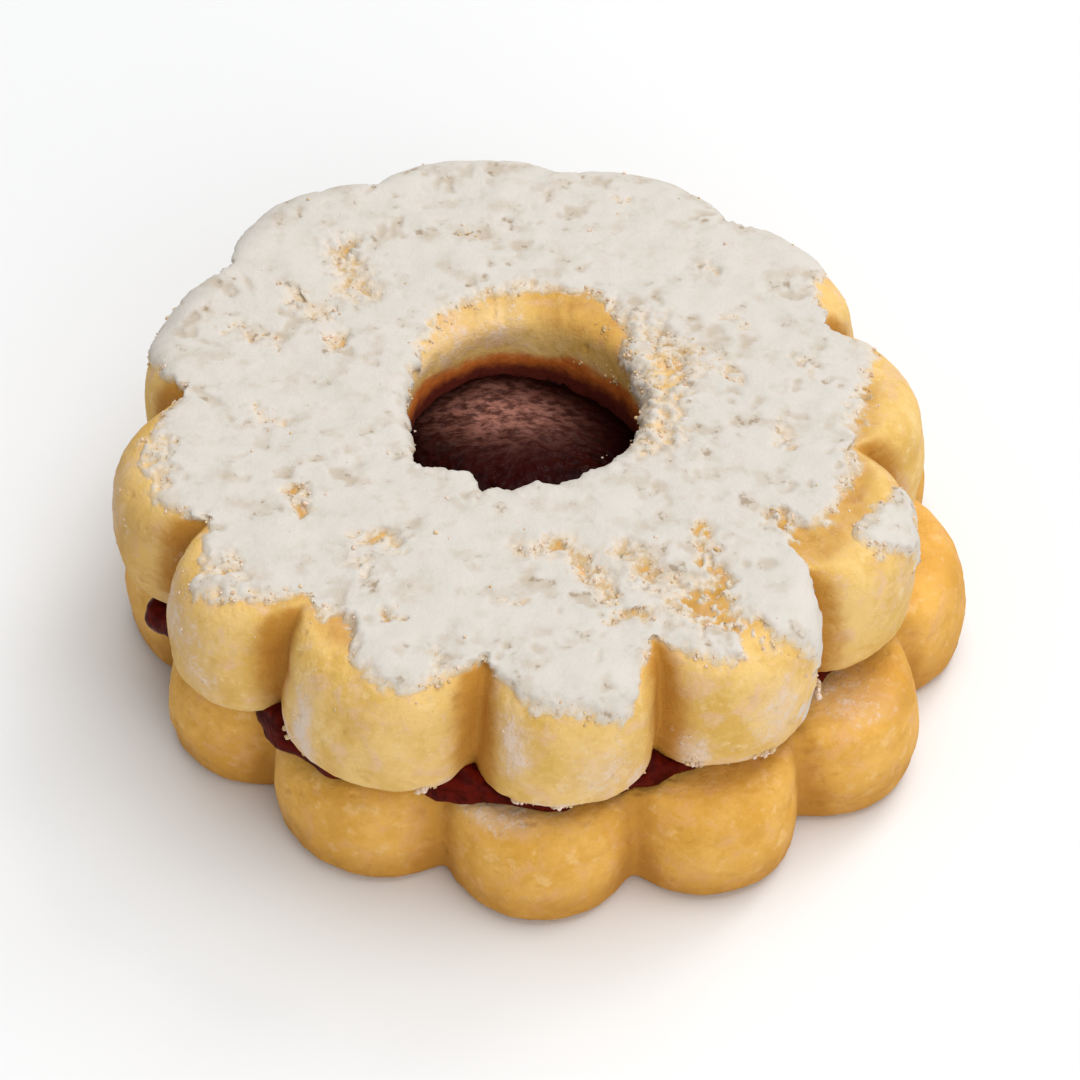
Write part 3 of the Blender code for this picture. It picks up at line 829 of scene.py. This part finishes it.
def make_jam_spread(settings, biscuits):
    """The jam: a flat pole below, a rounded edge that swells where it is pressed out, a neck up the
    window and a lumpy dome."""
    low, high = BOTTOM_FACE + JAM_GAP, TOP_UNDERSIDE - JAM_GAP
    middle, half = (low + high) / 2, (high - low) / 2
    angle = ring_angles(WALL_COLUMNS)
    swells = np.zeros((3, WALL_COLUMNS))
    for direction, width, *amounts in JAM_BEADS:
        swells += np.array(amounts)[:, None] * bell(turn_away(np.degrees(angle), direction), 0, width) * MM
    up, down, out = swells
    radius, _ = lobe_outline(angle, BOTTOM, biscuits)
    shift = np.array(BOTTOM.middle) - np.array(JAM_CENTRE)
    limit = radius - JAM_SETBACK + shift[0] * np.cos(angle) + shift[1] * np.sin(angle)
    reach = np.minimum(settings.spread_radius, limit) + out
    around = np.ones_like(angle)
    rings = []
    for bend in np.radians(np.linspace(-90, 90, 17)):
        tall = half + (down if bend < 0 else up)
        inset = np.minimum(tall, JAM_ROUNDING) * (1 - math.cos(bend))
        rings.append((reach - inset, middle + tall * math.sin(bend), JAM_CENTRE, -1.0))
    neck = biscuits.window_radius + (0.25 + bells(angle, WINDOW_BULGES)) * MM
    surface = JAM_TOP - JAM_DOME
    for share in (0.75, 0.5):
        rings.append((share * reach + (1 - share) * neck, high * around, JAM_CENTRE, -1.0))
    for share in np.linspace(0, 1, 6):
        rings.append((neck, (high + (surface - 0.4 * MM - high) * share) * around, WINDOW_CENTRE, 0.0))
    for share in np.linspace(0.98, 0.03, 60):
        lift = surface + JAM_DOME * (1 - share ** 2) - JAM_CURL * share ** 8
        rings.append((neck * share, lift * around, WINDOW_CENTRE, 1 - share))
    points = np.array([
        np.column_stack((centre[0] + size * np.cos(angle), centre[1] + size * np.sin(angle), height))
        for size, height, centre, _ in rings])
    inward = np.array([place for *_, place in rings])[:, None] * around
    pebbles = 1.1 * roughness(points, 3.5 * MM, 2, JAM_SEED)
    pebbles = pebbles + 0.9 * roughness(points, 1.1 * MM, 3, JAM_SEED + 10)
    points[..., 2] += (settings.lumpiness * pebbles - jam_sag(points)) * (inward > 0)
    flat = points[..., :2] - np.array(JAM_CENTRE)
    away = flat / np.maximum(np.linalg.norm(flat, axis=-1, keepdims=True), 1e-9)
    waves = JAM_WAVE * roughness(points, 2.2 * MM, 3, JAM_SEED + 20) * (inward < 0)
    points[..., :2] += away * waves[..., None]
    top = (*WINDOW_CENTRE, points[-1, :, 2].mean())
    points = np.vstack(([(*JAM_CENTRE, low)], points.reshape(-1, 3), [top]))
    masks = {"inward": np.concatenate(([-1], inward.ravel(), [1]))}
    # Painted highlight: its mask, a bell round its middle, in the window only.
    x, y, _ = (points - (*HIGHLIGHT_MIDDLE, 0)).T
    masks["painted_highlight"] = bell(np.hypot(x, 1.5 * y), 0, HIGHLIGHT_REACH) * (masks["inward"] > 0)
    quads, triangles = skin([1] + [WALL_COLUMNS] * len(rings) + [1])
    piece = mesh_piece("jam_spread", points, quads, triangles, jam_material(settings), masks)
    place(piece, "jam", "jam_filling")


def make_sugar_coat(settings, sugar):
    """The icing sugar: a closed sheet over the face, the shoulder and the rim of the window, with a
    fine grid outside and half as many columns inside, and its underside buried in the biscuit."""
    face_start, face_end, _ = path_marks(top_table(settings))
    outer_end = face_start - 7.0 * MM
    halfway = face_start + 7.0 * MM
    inner_end = face_end + 5.5 * MM
    outer = np.linspace(outer_end, halfway, 70)
    inner = np.linspace(halfway, inner_end, 58)[1:]
    under = np.linspace(inner_end, outer_end, 9)[1:-1]
    parts, covers, counts = [], [], []
    for paths, columns in ((outer, FINE_COLUMNS), (inner, COARSE_COLUMNS)):
        angle, path = np.meshgrid(ring_angles(columns), paths)
        points, *fields = sugar_surface(angle, path, settings, sugar)
        parts.append(points.reshape(-1, 3))
        covers.append(np.stack([field.ravel() for field in fields]))
        counts += [columns] * len(paths)
    angle, path = np.meshgrid(ring_angles(COARSE_COLUMNS), under)
    _, crumb, out = top_crumb(angle, path, settings)
    parts.append((crumb - out * BURIED).reshape(-1, 3))
    covers.append(np.zeros((3, angle.size)))
    counts += [COARSE_COLUMNS] * len(under)
    # The dents mask carries how much painted shade the sugar takes.
    powder, dents, browned = np.concatenate(covers, axis=1)
    masks = {"powder": powder, "dents": dents, "browning_and_shade": browned}
    quads, triangles = skin(counts, joined=True)
    material = sugar_material(sugar, settings)
    place(mesh_piece("sugar_coat", np.vstack(parts), quads, triangles, material, masks), "icing_sugar")


# ---------------------------------------------------------------- loose grains


def icosahedron():
    """The twelve corners and twenty faces of a ball with a radius of one: each corner has one
    coordinate of nought, one of one and one of the golden ratio, and each face is three corners that
    are all neighbours, turned to face outwards."""
    golden = (1 + math.sqrt(5)) / 2
    signs = [(a, b) for a in (-1, 1) for b in (-1, 1)]
    corners = np.array([np.roll((0, a, b * golden), k) for k in range(3) for a, b in signs], float)
    corners /= np.linalg.norm(corners[0])
    near = np.linalg.norm(corners[:, None] - corners[None], axis=-1) < 1.2
    faces = [(i, j, k) for i in range(12) for j in range(i + 1, 12) for k in range(j + 1, 12)
             if near[i, j] and near[j, k] and near[i, k]]
    outward = [np.dot(np.cross(corners[j] - corners[i], corners[k] - corners[i]), corners[i]) > 0
               for i, j, k in faces]
    return corners, np.array([face if right else face[::-1] for face, right in zip(faces, outward)])


def lumps_at(centres, sizes, random):
    """One uneven ball at each centre: the icosahedron's corners moved in and out at random, then
    stretched along a random direction."""
    corners, faces = icosahedron()
    count = len(centres)
    reach = random.uniform(0.55, 1.35, (count, len(corners), 1))
    balls = corners[None] * reach * sizes[:, None, None]
    direction = random.normal(size=(count, 1, 3))
    direction /= np.linalg.norm(direction, axis=-1, keepdims=True)
    along = (balls * direction).sum(-1, keepdims=True)
    balls = balls + direction * along * random.uniform(-0.35, 0.5, (count, 1, 1))
    points = (balls + centres[:, None]).reshape(-1, 3)
    triangles = (faces[None] + len(corners) * np.arange(count)[:, None, None]).reshape(-1, 3)
    return points, triangles


def scatter(points, out, chance, count, size, random):
    """Centres and sizes of lumps strewn over a surface with the given chances, sunk a little into it."""
    chance = np.clip(chance, 0, None).ravel()
    chosen = random.choice(len(chance), size=count, replace=False, p=chance / chance.sum())
    sizes = random.lognormal(math.log(size), 0.40, count).clip(*LUMP_LIMITS)
    return points.reshape(-1, 3)[chosen] + out.reshape(-1, 3)[chosen] * (0.2 * sizes)[:, None], sizes


def make_lumps(name, strewn, material, slot, random):
    """One joined mesh of all the lumps strewn."""
    centres = np.vstack([centres for centres, _ in strewn])
    sizes = np.concatenate([sizes for _, sizes in strewn])
    points, triangles = lumps_at(centres, sizes, random)
    place(mesh_piece(name, points, np.empty((0, 4), int), triangles, material, smooth=False), slot)


def make_loose_grains(settings, sugar):
    """Loose sugar along the coat's torn edges, on the bare streaks, on the dusted wall, by the seam
    and on the jam, and golden crumbs on the bare streaks, the window's right wall and the seam."""
    random = np.random.default_rng(LUMP_SEED)
    _, face_end, end = path_marks(top_table(settings))
    angle, path = np.meshgrid(ring_angles(WALL_COLUMNS), np.linspace(0.3 * MM, end - 1.5 * MM, 200))
    base, crumb, out = top_crumb(angle, path, settings)
    coat, share, *_ = sugar_surface(angle, path, settings, sugar)
    coated = ((coat - crumb) * out).sum(-1, keepdims=True) > 0
    points = np.where(coated, coat, crumb)
    area = np.hypot(points[..., 0], points[..., 1])
    torn = bell(share, 0.5, 0.22)
    wall = (path < face_end) * wall_dust(angle, base[..., 2])
    clustered = 0.1 + ease(swell(points, 1.6 * MM, GRAIN_SEED), 0.0, 0.5)
    seam = bell(base[..., 2], TOP_UNDERSIDE + 0.7 * MM, 0.6 * MM) * (wall > 0.32)
    right = (path > face_end) * (base[..., 2] > JAM_TOP) * toward(angle, 15, 0.6, 0.95)
    high = base[..., 2] > SUGAR_TOP - 3.5 * MM
    white = area * clustered * (torn * high + 0.35 * wall ** 2)
    strewn_sugar = [
        scatter(points, out, white, sugar.grains, SUGAR_LUMP, random),
        scatter(points, out, area * seam * (clustered > 0.6), *SEAM_SUGAR, random),
        grains_on_jam(settings, random)]
    golden = area * clustered * (0.8 * torn * high + 2.0 * right)
    strewn_crumbs = [
        scatter(points, out, golden, sugar.crumbs, CRUMB_LUMP, random),
        scatter(points, out, area * seam, *SEAM_CRUMBS, random)]
    loose_sugar = grain_material("loose_sugar", sugar.thin)
    make_lumps("sugar_grains", strewn_sugar, loose_sugar, "icing_sugar", random)
    loose_crumb = grain_material("loose_crumb", sugar.crumb_colour)
    make_lumps("loose_crumbs", strewn_crumbs, loose_crumb, "shortbread", random)


def grains_on_jam(settings, random):
    """Centres and sizes of the sugar fallen from the rim on to the jam, most of it at the front and the
    rest at the right."""
    count = GRAINS_ON_JAM
    front, right = random.normal(262, 34, count), random.normal(348, 7, count)
    direction = np.radians(np.where(np.arange(count) < FRONT_GRAINS_ON_JAM, front, right))
    share = (1 - random.exponential(0.08, count)).clip(0.45, 0.97)
    x = WINDOW_CENTRE[0] + settings.window_radius * share * np.cos(direction)
    y = WINDOW_CENTRE[1] + settings.window_radius * share * np.sin(direction)
    z = JAM_TOP - JAM_DOME * share ** 2 - 0.05 * MM
    return np.column_stack((x, y, z)), random.uniform(0.05, 0.12, count) * MM


# ---------------------------------------------------------------- materials

VECTOR, COLOUR, VALUE = "NodeSocketVector", "NodeSocketColor", "NodeSocketFloat"


def add_node(tree, kind, values=None, **settings):
    """Add a node, set its options, and set or link its inputs, which are given by name or number."""
    made = tree.nodes.new(kind)
    for name, value in settings.items():
        setattr(made, name, value)
    for key, value in (values or {}).items():
        if isinstance(value, bpy.types.NodeSocket):
            tree.links.new(value, made.inputs[key])
        else:
            made.inputs[key].default_value = value
    return made


def maths(tree, operation, first, second, clamp=False):
    """One Math node's value."""
    made = add_node(tree, "ShaderNodeMath", {0: first, 1: second}, operation=operation, use_clamp=clamp)
    return made.outputs[0]


def times(tree, first, second):
    """The product of two values."""
    return maths(tree, "MULTIPLY", first, second)


def plus(tree, first, second, clamp=False):
    """The sum of two values, held between 0 and 1 if clamped."""
    return maths(tree, "ADD", first, second, clamp)


def minus(tree, first, second):
    """The first value less the second."""
    return maths(tree, "SUBTRACT", first, second)


def between(tree, value, low, high, start=0.0, end=1.0):
    """Start below low and end above high, with a smooth step between them."""
    values = {"Value": value, "From Min": low, "From Max": high, "To Min": start, "To Max": end}
    return add_node(tree, "ShaderNodeMapRange", values, interpolation_type="SMOOTHSTEP").outputs["Result"]


def mixed(tree, share, first, second):
    """Two colours mixed by a share. A colour Mix node's own sockets are its inputs 0, 6 and 7."""
    return add_node(tree, "ShaderNodeMix", {0: share, 6: first, 7: second}, data_type="RGBA").outputs[2]


def grain_noise(tree, vector, scale, detail=3.0, rough=0.6, warp=0.0):
    """One noise texture's value."""
    values = {"Vector": vector, "Scale": scale, "Detail": detail, "Roughness": rough, "Distortion": warp}
    return add_node(tree, "ShaderNodeTexNoise", values).outputs["Fac"]


def solid(colour, *factors):
    """A colour with its alpha, each channel first multiplied by its factor, if any, up to 1 at most."""
    factors = factors or (1.0, 1.0, 1.0)
    return (*(min(1.0, value * factor) for value, factor in zip(colour, factors)), 1.0)


def new_group(name, inputs, outputs):
    """A shader node group with its named sockets. Returns the tree and its input and output nodes."""
    tree = bpy.data.node_groups.new(name, "ShaderNodeTree")
    for socket, kind in inputs.items():
        tree.interface.new_socket(socket, in_out="INPUT", socket_type=kind)
    for socket, kind in outputs.items():
        tree.interface.new_socket(socket, in_out="OUTPUT", socket_type=kind)
    return tree, tree.nodes.new("NodeGroupInput").outputs, tree.nodes.new("NodeGroupOutput").inputs


def use_group(tree, name, make, values=None):
    """A node of the named group, which is made the first time that it is asked for."""
    shared = bpy.data.node_groups.get(name) or make(name)
    return add_node(tree, "ShaderNodeGroup", values, node_tree=shared)


def make_millimetres(name):
    """Object coordinates turned into millimetres."""
    tree, _, results = new_group(name, {}, {"Vector": VECTOR})
    coordinates = tree.nodes.new("ShaderNodeTexCoord").outputs["Object"]
    scaled = add_node(tree, "ShaderNodeVectorMath", {0: coordinates, "Scale": 1000.0}, operation="SCALE")
    tree.links.new(scaled.outputs[0], results["Vector"])
    return tree


def make_crumb_look(name):
    """Baked crumb: a colour in blotches of pale and deep with fine light and brown specks, darkened
    towards the browned colour as told, for browning and for painted shade, and a height of fine grain."""
    tree, given, results = new_group(
        name, {"Vector": VECTOR, "Pale": COLOUR, "Deep": COLOUR, "Blush": COLOUR, "Browned": COLOUR,
               "Brownness_and_Shade": VALUE}, {"Colour": COLOUR, "Height": VALUE})
    vector = given["Vector"]
    broad = grain_noise(tree, vector, 0.16)
    close = grain_noise(tree, vector, 0.75, 3.0, 0.65, 0.4)
    blotch = plus(tree, times(tree, broad, 0.6), times(tree, close, 0.4))
    tone = mixed(tree, between(tree, blotch, 0.38, 0.62), given["Deep"], given["Pale"])
    lumps = grain_noise(tree, vector, 0.8)
    light = mixed(tree, 0.25, given["Pale"], PALEST)
    tone = mixed(tree, between(tree, lumps, 0.45, 0.30, 0.0, 0.55), tone, light)
    rosy = between(tree, grain_noise(tree, vector, 0.42, 4.0, 0.65, 0.5), 0.50, 0.68, 0.0, 0.65)
    tone = mixed(tree, rosy, tone, given["Blush"])
    uneven = times(tree, minus(tree, close, 0.5), 0.9)
    brown_and_shade = between(tree, plus(tree, given["Brownness_and_Shade"], uneven), 0.02, 0.95)
    brown_and_shade = times(tree, brown_and_shade, between(tree, given["Brownness_and_Shade"], 0.0, 0.15))
    tone = mixed(tree, brown_and_shade, tone, given["Browned"])
    sand = grain_noise(tree, vector, 2.6, 4.0, 0.7)
    tone = mixed(tree, between(tree, sand, 0.58, 0.74, 0.0, 0.30), tone, given["Browned"])
    tree.links.new(tone, results["Colour"])
    tree.links.new(plus(tree, sand, times(tree, close, 0.8)), results["Height"])
    return tree


def make_powder(name):
    """Icing sugar over a colour: specks that close up as the amount rises, thin and tinted where
    they are few, with painted shade in smudges and in the dents, small pits in that shade in the crumb's
    colour darkened as painted shade, and a height of fine grain and specks."""
    tree, given, results = new_group(
        name, {"Vector": VECTOR, "Amount": VALUE, "Dents": VALUE, "Under": COLOUR, "Sugar": COLOUR,
               "Cool": COLOUR, "Thin": COLOUR, "Shade": COLOUR, "Pit": COLOUR},
        {"Colour": COLOUR, "Height": VALUE})
    vector, amount = given["Vector"], given["Amount"]
    fine = grain_noise(tree, vector, 2.8, 3.0, 0.7)
    middle = grain_noise(tree, vector, 0.9)
    both = plus(tree, times(tree, fine, 0.45), times(tree, middle, 0.55))
    level = minus(tree, 0.70, times(tree, amount, 0.40))
    mask = between(tree, minus(tree, both, level), -0.10, 0.09)
    mask = times(tree, mask, between(tree, amount, 0.0, 0.45, 0.35, 1.0))
    mask = times(tree, mask, between(tree, amount, 0.0, 0.12))
    # Painted shade: grey smudges and the dents take the Shade colour.
    smudge = between(tree, grain_noise(tree, vector, 0.36), 0.48, 0.70, 0.0, 0.58)
    shaded = plus(tree, smudge, times(tree, given["Dents"], 0.9), True)
    patches = between(tree, grain_noise(tree, vector, 0.45), 0.42, 0.60)
    white = mixed(tree, patches, given["Sugar"], given["Cool"])
    white = mixed(tree, shaded, white, given["Shade"])
    # Painted shade: small dark pits, only where the sugar is shaded.
    speck = between(tree, grain_noise(tree, vector, 1.1, 2.0, 0.55), 0.58, 0.70, 0.0, 0.62)
    speck = times(tree, speck, between(tree, shaded, 0.10, 0.65))
    speck = times(tree, speck, between(tree, amount, 0.25, 0.50))
    white = mixed(tree, between(tree, amount, 0.45, 1.0, 0.90, 0.0), white, given["Thin"])
    veil = mixed(tree, between(tree, amount, 0.10, 0.60, 0.0, 0.55), given["Under"], given["Thin"])
    tree.links.new(mixed(tree, speck, mixed(tree, mask, veil, white), given["Pit"]), results["Colour"])
    grit = minus(tree, fine, times(tree, speck, 0.6))
    tree.links.new(plus(tree, times(tree, mask, 0.35), grit), results["Height"])
    return tree


def start_material(name, rough, specular=0.5):
    """A material with a Principled shader, and its object coordinates in millimetres."""
    material = bpy.data.materials.new(name)
    material.use_nodes = True
    tree = material.node_tree
    shader = tree.nodes["Principled BSDF"]
    shader.inputs["Roughness"].default_value = rough
    shader.inputs["Specular IOR Level"].default_value = specular
    vector = use_group(tree, "millimetres", make_millimetres).outputs["Vector"]
    return material, tree, shader, vector


def attribute(tree, name):
    """A point attribute's value."""
    return add_node(tree, "ShaderNodeAttribute", attribute_name=name).outputs["Fac"]


def finish_material(tree, shader, tone, height=None, depth=0.0):
    """Give the surface its colour and, with a height, a bump of the given depth in metres."""
    tree.links.new(tone, shader.inputs["Base Color"])
    if height is not None:
        made = add_node(tree, "ShaderNodeBump", {"Height": height, "Distance": depth, "Strength": 1.0})
        tree.links.new(made.outputs["Normal"], shader.inputs["Normal"])


def crumb_and_powder(tree, vector, crumb, browned, brownness_and_shade, thin, dents=0.0, stain=None):
    """Crumb under icing sugar: the final colour and height, for the biscuits and the coat alike."""
    sugar = bpy.context.scene.linzer_sugar
    look = use_group(tree, "crumb_look", make_crumb_look, {
        "Vector": vector, "Pale": solid(crumb, 1.06, 1.09, 1.12), "Deep": solid(crumb, 0.90, 0.84, 0.55),
        "Blush": solid(crumb, 0.99, 0.98, 1.75), "Browned": solid(browned), "Brownness_and_Shade": brownness_and_shade})
    under = look.outputs["Colour"]
    if stain is not None:
        uneven = times(tree, minus(tree, grain_noise(tree, vector, 0.7), 0.5), 0.5)
        soaked = times(tree, plus(tree, stain, uneven), between(tree, stain, 0.0, 0.3))
        under = mixed(tree, between(tree, soaked, 0.05, 0.45), under, SOAKED)
        under = mixed(tree, between(tree, soaked, 0.38, 0.78), under, DEEPLY_SOAKED)
    powder = use_group(tree, "powder", make_powder, {
        "Vector": vector, "Amount": attribute(tree, "powder"), "Dents": dents, "Under": under,
        "Sugar": solid(sugar.colour), "Cool": solid(sugar.cool), "Thin": solid(thin),
        "Shade": solid(sugar.shade), "Pit": solid(sugar.shaded_pit)})
    height = plus(tree, look.outputs["Height"], powder.outputs["Height"])
    return powder.outputs["Colour"], height


def biscuit_material(name, settings, colour):
    """Baked crumb: mottled golden, darkened in the notches and on the top's wall at the left as painted
    shade, browner towards the bottom biscuit's foot, with jam stain and icing sugar where the masks say."""
    material, tree, shader, vector = start_material(name, 0.8, 0.3)
    baked = name == "baked_crumb"
    # The mask holds browning and painted shade in the notches and on the top's wall at the left.
    brownness_and_shade = times(tree, attribute(tree, "browning_and_shade"), 0.60 if baked else 0.95)
    if baked:
        height = add_node(tree, "ShaderNodeSeparateXYZ", {0: vector}).outputs["Z"]
        wave = grain_noise(tree, vector, 0.14)
        low = plus(tree, height, times(tree, wave, -7.0))
        brownness_and_shade = plus(tree, brownness_and_shade, between(tree, low, 3.2, -3.2, 0.0, 0.66))
    tone, height = crumb_and_powder(
        tree, vector, colour, settings.browned, brownness_and_shade, bpy.context.scene.linzer_sugar.thin,
        stain=None if baked else attribute(tree, "stain"))
    finish_material(tree, shader, tone, height, 0.07 * MM)
    return material


def sugar_material(sugar, biscuits):
    """Icing sugar: soft white, with painted shade in its dents and torn places, with the crumb's gold
    between its specks where there is little of it."""
    material, tree, shader, vector = start_material("powder_sugar", 0.95, 0.2)
    tone, height = crumb_and_powder(
        tree, vector, biscuits.shortbread, sugar.worn,
        times(tree, attribute(tree, "browning_and_shade"), 1.1), sugar.edge, attribute(tree, "dents"))
    finish_material(tree, shader, tone, height, 0.045 * MM)
    return material


def jam_material(settings):
    """Dark jam: darkened nearly to black by the wall as painted shade, redder inwards and in the seam,
    with a painted highlight in lighter streaks and a pebbled, glossy skin."""
    material, tree, shader, vector = start_material("jam_gloss", 0.26, 0.03)
    inward = attribute(tree, "inward")
    pebbles = grain_noise(tree, vector, 1.0)
    # Painted shade: the jam darkens towards the window's wall and is redder inwards.
    middle = plus(tree, inward, times(tree, minus(tree, pebbles, 0.5), 1.6))
    tone = mixed(tree, between(tree, middle, 0.10, 0.75), solid(settings.dark), solid(settings.colour))
    # Painted highlight: lighter streaks behind the window's middle stand in for reflections.
    stretched = add_node(
        tree, "ShaderNodeMapping", {"Vector": vector, "Rotation": (0, 0, -0.9), "Scale": (1.0, 2.0, 1.0)})
    highlight_streaks = grain_noise(tree, stretched.outputs["Vector"], 0.9, 3.0, 0.65)
    painted_highlight = times(tree, between(tree, highlight_streaks, 0.36, 0.64, 0.20, 1.0), attribute(tree, "painted_highlight"))
    tone = mixed(tree, times(tree, painted_highlight, 0.8), tone, solid(settings.streak))
    dark_seam = solid(settings.seam, 0.45, 0.4, 0.5)
    seam = mixed(tree, between(tree, pebbles, 0.35, 0.65), dark_seam, solid(settings.seam))
    tree.links.new(between(tree, pebbles, 0.35, 0.65, 0.42, 0.26), shader.inputs["Roughness"])
    tone = mixed(tree, between(tree, inward, -0.2, -0.8), tone, seam)
    finish_material(tree, shader, tone, pebbles, 0.17 * MM)
    return material


def grain_material(name, colour):
    """Loose lumps: one colour, paler and darker from lump to lump."""
    material, tree, shader, vector = start_material(name, 0.9, 0.2)
    tone = between(tree, grain_noise(tree, vector, 1.7, 2.0, 0.5), 0.35, 0.65)
    dark, pale = solid(colour, 0.82, 0.76, 0.66), solid(colour, 1.04, 1.10, 1.22)
    finish_material(tree, shader, mixed(tree, tone, dark, pale))
    return material


# ---------------------------------------------------------------- stage


def make_stage(settings):
    """A plain pale floor, a broad soft light overhead, a small key from behind and right, a fill from
    the front right, and the camera."""
    scene = bpy.context.scene
    scene.view_settings.view_transform = "Standard"
    bpy.ops.mesh.primitive_plane_add(size=6.0)
    floor = bpy.context.object
    floor.name = "floor"
    floor.data.materials.append(floor_material(settings))
    for lamp in LAMPS:
        add_lamp(*lamp)
    world = bpy.data.worlds.new("soft_room")
    world.use_nodes = True
    background = world.node_tree.nodes["Background"]
    background.inputs["Color"].default_value = (1.0, 1.0, 1.0, 1.0)
    background.inputs["Strength"].default_value = ROOM_LIGHT
    scene.world = world
    add_camera(settings)


def floor_material(settings):
    """Plain floor paint with the faintest unevenness."""
    material, tree, shader, vector = start_material("pale_floor", 0.9)
    tone = between(tree, grain_noise(tree, vector, 0.01, 2.0, 0.5), 0.3, 0.7)
    dark = solid(settings.floor, 0.985, 0.985, 0.985)
    finish_material(tree, shader, mixed(tree, tone, dark, solid(settings.floor)))
    return material


def add_lamp(name, where, size, power):
    """A square area lamp aimed at the cookie's middle."""
    data = bpy.data.lights.new(name, "AREA")
    data.size = size
    data.energy = power
    lamp = bpy.data.objects.new(name, data)
    lamp.location = where
    aim = np.array(LAMP_AIM) - np.array(where)
    lamp.rotation_euler = (
        math.atan2(math.hypot(aim[0], aim[1]), -aim[2]), 0.0, math.atan2(aim[1], aim[0]) - math.pi / 2)
    bpy.context.scene.collection.objects.link(lamp)


def add_camera(settings):
    """The camera, looking along +Y and down, a touch rolled, at the middle of the cookie."""
    data = bpy.data.cameras.new("camera")
    data.lens = LENS
    data.sensor_width = SENSOR_WIDTH
    data.shift_x = CAMERA_SHIFT
    data.clip_start = 0.01
    data.clip_end = 20.0
    camera = bpy.data.objects.new("camera", data)
    back = np.array((0.0, -math.cos(settings.elevation), math.sin(settings.elevation)))
    camera.location = np.array(CAMERA_TARGET) + back * settings.distance
    tilt = Matrix.Rotation(math.pi / 2 - settings.elevation, 4, "X")
    roll = Matrix.Rotation(CAMERA_ROLL, 4, "Z")
    camera.rotation_euler = (tilt @ roll).to_euler("XYZ")
    bpy.context.scene.collection.objects.link(camera)
    bpy.context.scene.camera = camera


# ---------------------------------------------------------------- operators


class LINZER_OT_bottom_biscuit(Operator):
    """Make the bottom biscuit's crumb"""

    bl_idname = "linzer.bottom_biscuit"
    bl_label = "Bottom Biscuit"

    def execute(self, context):
        make_bottom_crumb(context.scene.linzer_biscuits)
        return {"FINISHED"}


class LINZER_OT_jam(Operator):
    """Make the jam"""

    bl_idname = "linzer.jam"
    bl_label = "Jam"

    def execute(self, context):
        make_jam_spread(context.scene.linzer_jam, context.scene.linzer_biscuits)
        return {"FINISHED"}


class LINZER_OT_top_biscuit(Operator):
    """Make the top biscuit's crumb"""

    bl_idname = "linzer.top_biscuit"
    bl_label = "Top Biscuit"

    def execute(self, context):
        make_top_crumb(context.scene.linzer_biscuits)
        return {"FINISHED"}


class LINZER_OT_icing_sugar(Operator):
    """Make the coat of icing sugar"""

    bl_idname = "linzer.icing_sugar"
    bl_label = "Icing Sugar"

    def execute(self, context):
        make_sugar_coat(context.scene.linzer_biscuits, context.scene.linzer_sugar)
        return {"FINISHED"}


class LINZER_OT_loose_grains(Operator):
    """Make the loose sugar and the loose crumbs"""

    bl_idname = "linzer.loose_grains"
    bl_label = "Loose Grains"

    def execute(self, context):
        make_loose_grains(context.scene.linzer_biscuits, context.scene.linzer_sugar)
        return {"FINISHED"}


class LINZER_OT_stage(Operator):
    """Make the floor, the lights and the camera"""

    bl_idname = "linzer.stage"
    bl_label = "Stage"

    def execute(self, context):
        make_stage(context.scene.linzer_stage)
        return {"FINISHED"}


class LINZER_PT_cookie(Panel):
    """The cookie's pieces and settings"""

    bl_label = "Linzer Cookie"
    bl_idname = "LINZER_PT_cookie"
    bl_space_type = "VIEW_3D"
    bl_region_type = "UI"
    bl_category = "Linzer"

    def draw(self, context):
        for operator in OPERATORS:
            self.layout.operator(operator.bl_idname)
        for settings in SETTINGS:
            box = self.layout.box()
            group_of_settings = getattr(context.scene, settings)
            for name in group_of_settings.__annotations__:
                box.prop(group_of_settings, name)


OPERATORS = (LINZER_OT_bottom_biscuit, LINZER_OT_jam, LINZER_OT_top_biscuit, LINZER_OT_icing_sugar,
             LINZER_OT_loose_grains, LINZER_OT_stage)
SETTINGS = {"linzer_biscuits": LinzerBiscuitSettings, "linzer_jam": LinzerJamSettings,
            "linzer_sugar": LinzerSugarSettings, "linzer_stage": LinzerStageSettings}


def register():
    """Register the groups of settings, the operators and the panel."""
    for settings in SETTINGS.values():
        bpy.utils.register_class(settings)
    for operator in OPERATORS:
        bpy.utils.register_class(operator)
    bpy.utils.register_class(LINZER_PT_cookie)
    for name, settings in SETTINGS.items():
        setattr(bpy.types.Scene, name, PointerProperty(type=settings))


def unregister():
    """Take back what register did."""
    for name in SETTINGS:
        delattr(bpy.types.Scene, name)
    bpy.utils.unregister_class(LINZER_PT_cookie)
    for operator in reversed(OPERATORS):
        bpy.utils.unregister_class(operator)
    for settings in reversed(SETTINGS.values()):
        bpy.utils.unregister_class(settings)


def main():
    """Make each piece and the stage in order."""
    register()
    bpy.ops.linzer.bottom_biscuit()
    bpy.ops.linzer.jam()
    bpy.ops.linzer.top_biscuit()
    bpy.ops.linzer.icing_sugar()
    bpy.ops.linzer.loose_grains()
    bpy.ops.linzer.stage()


if __name__ == "__main__":
    main()
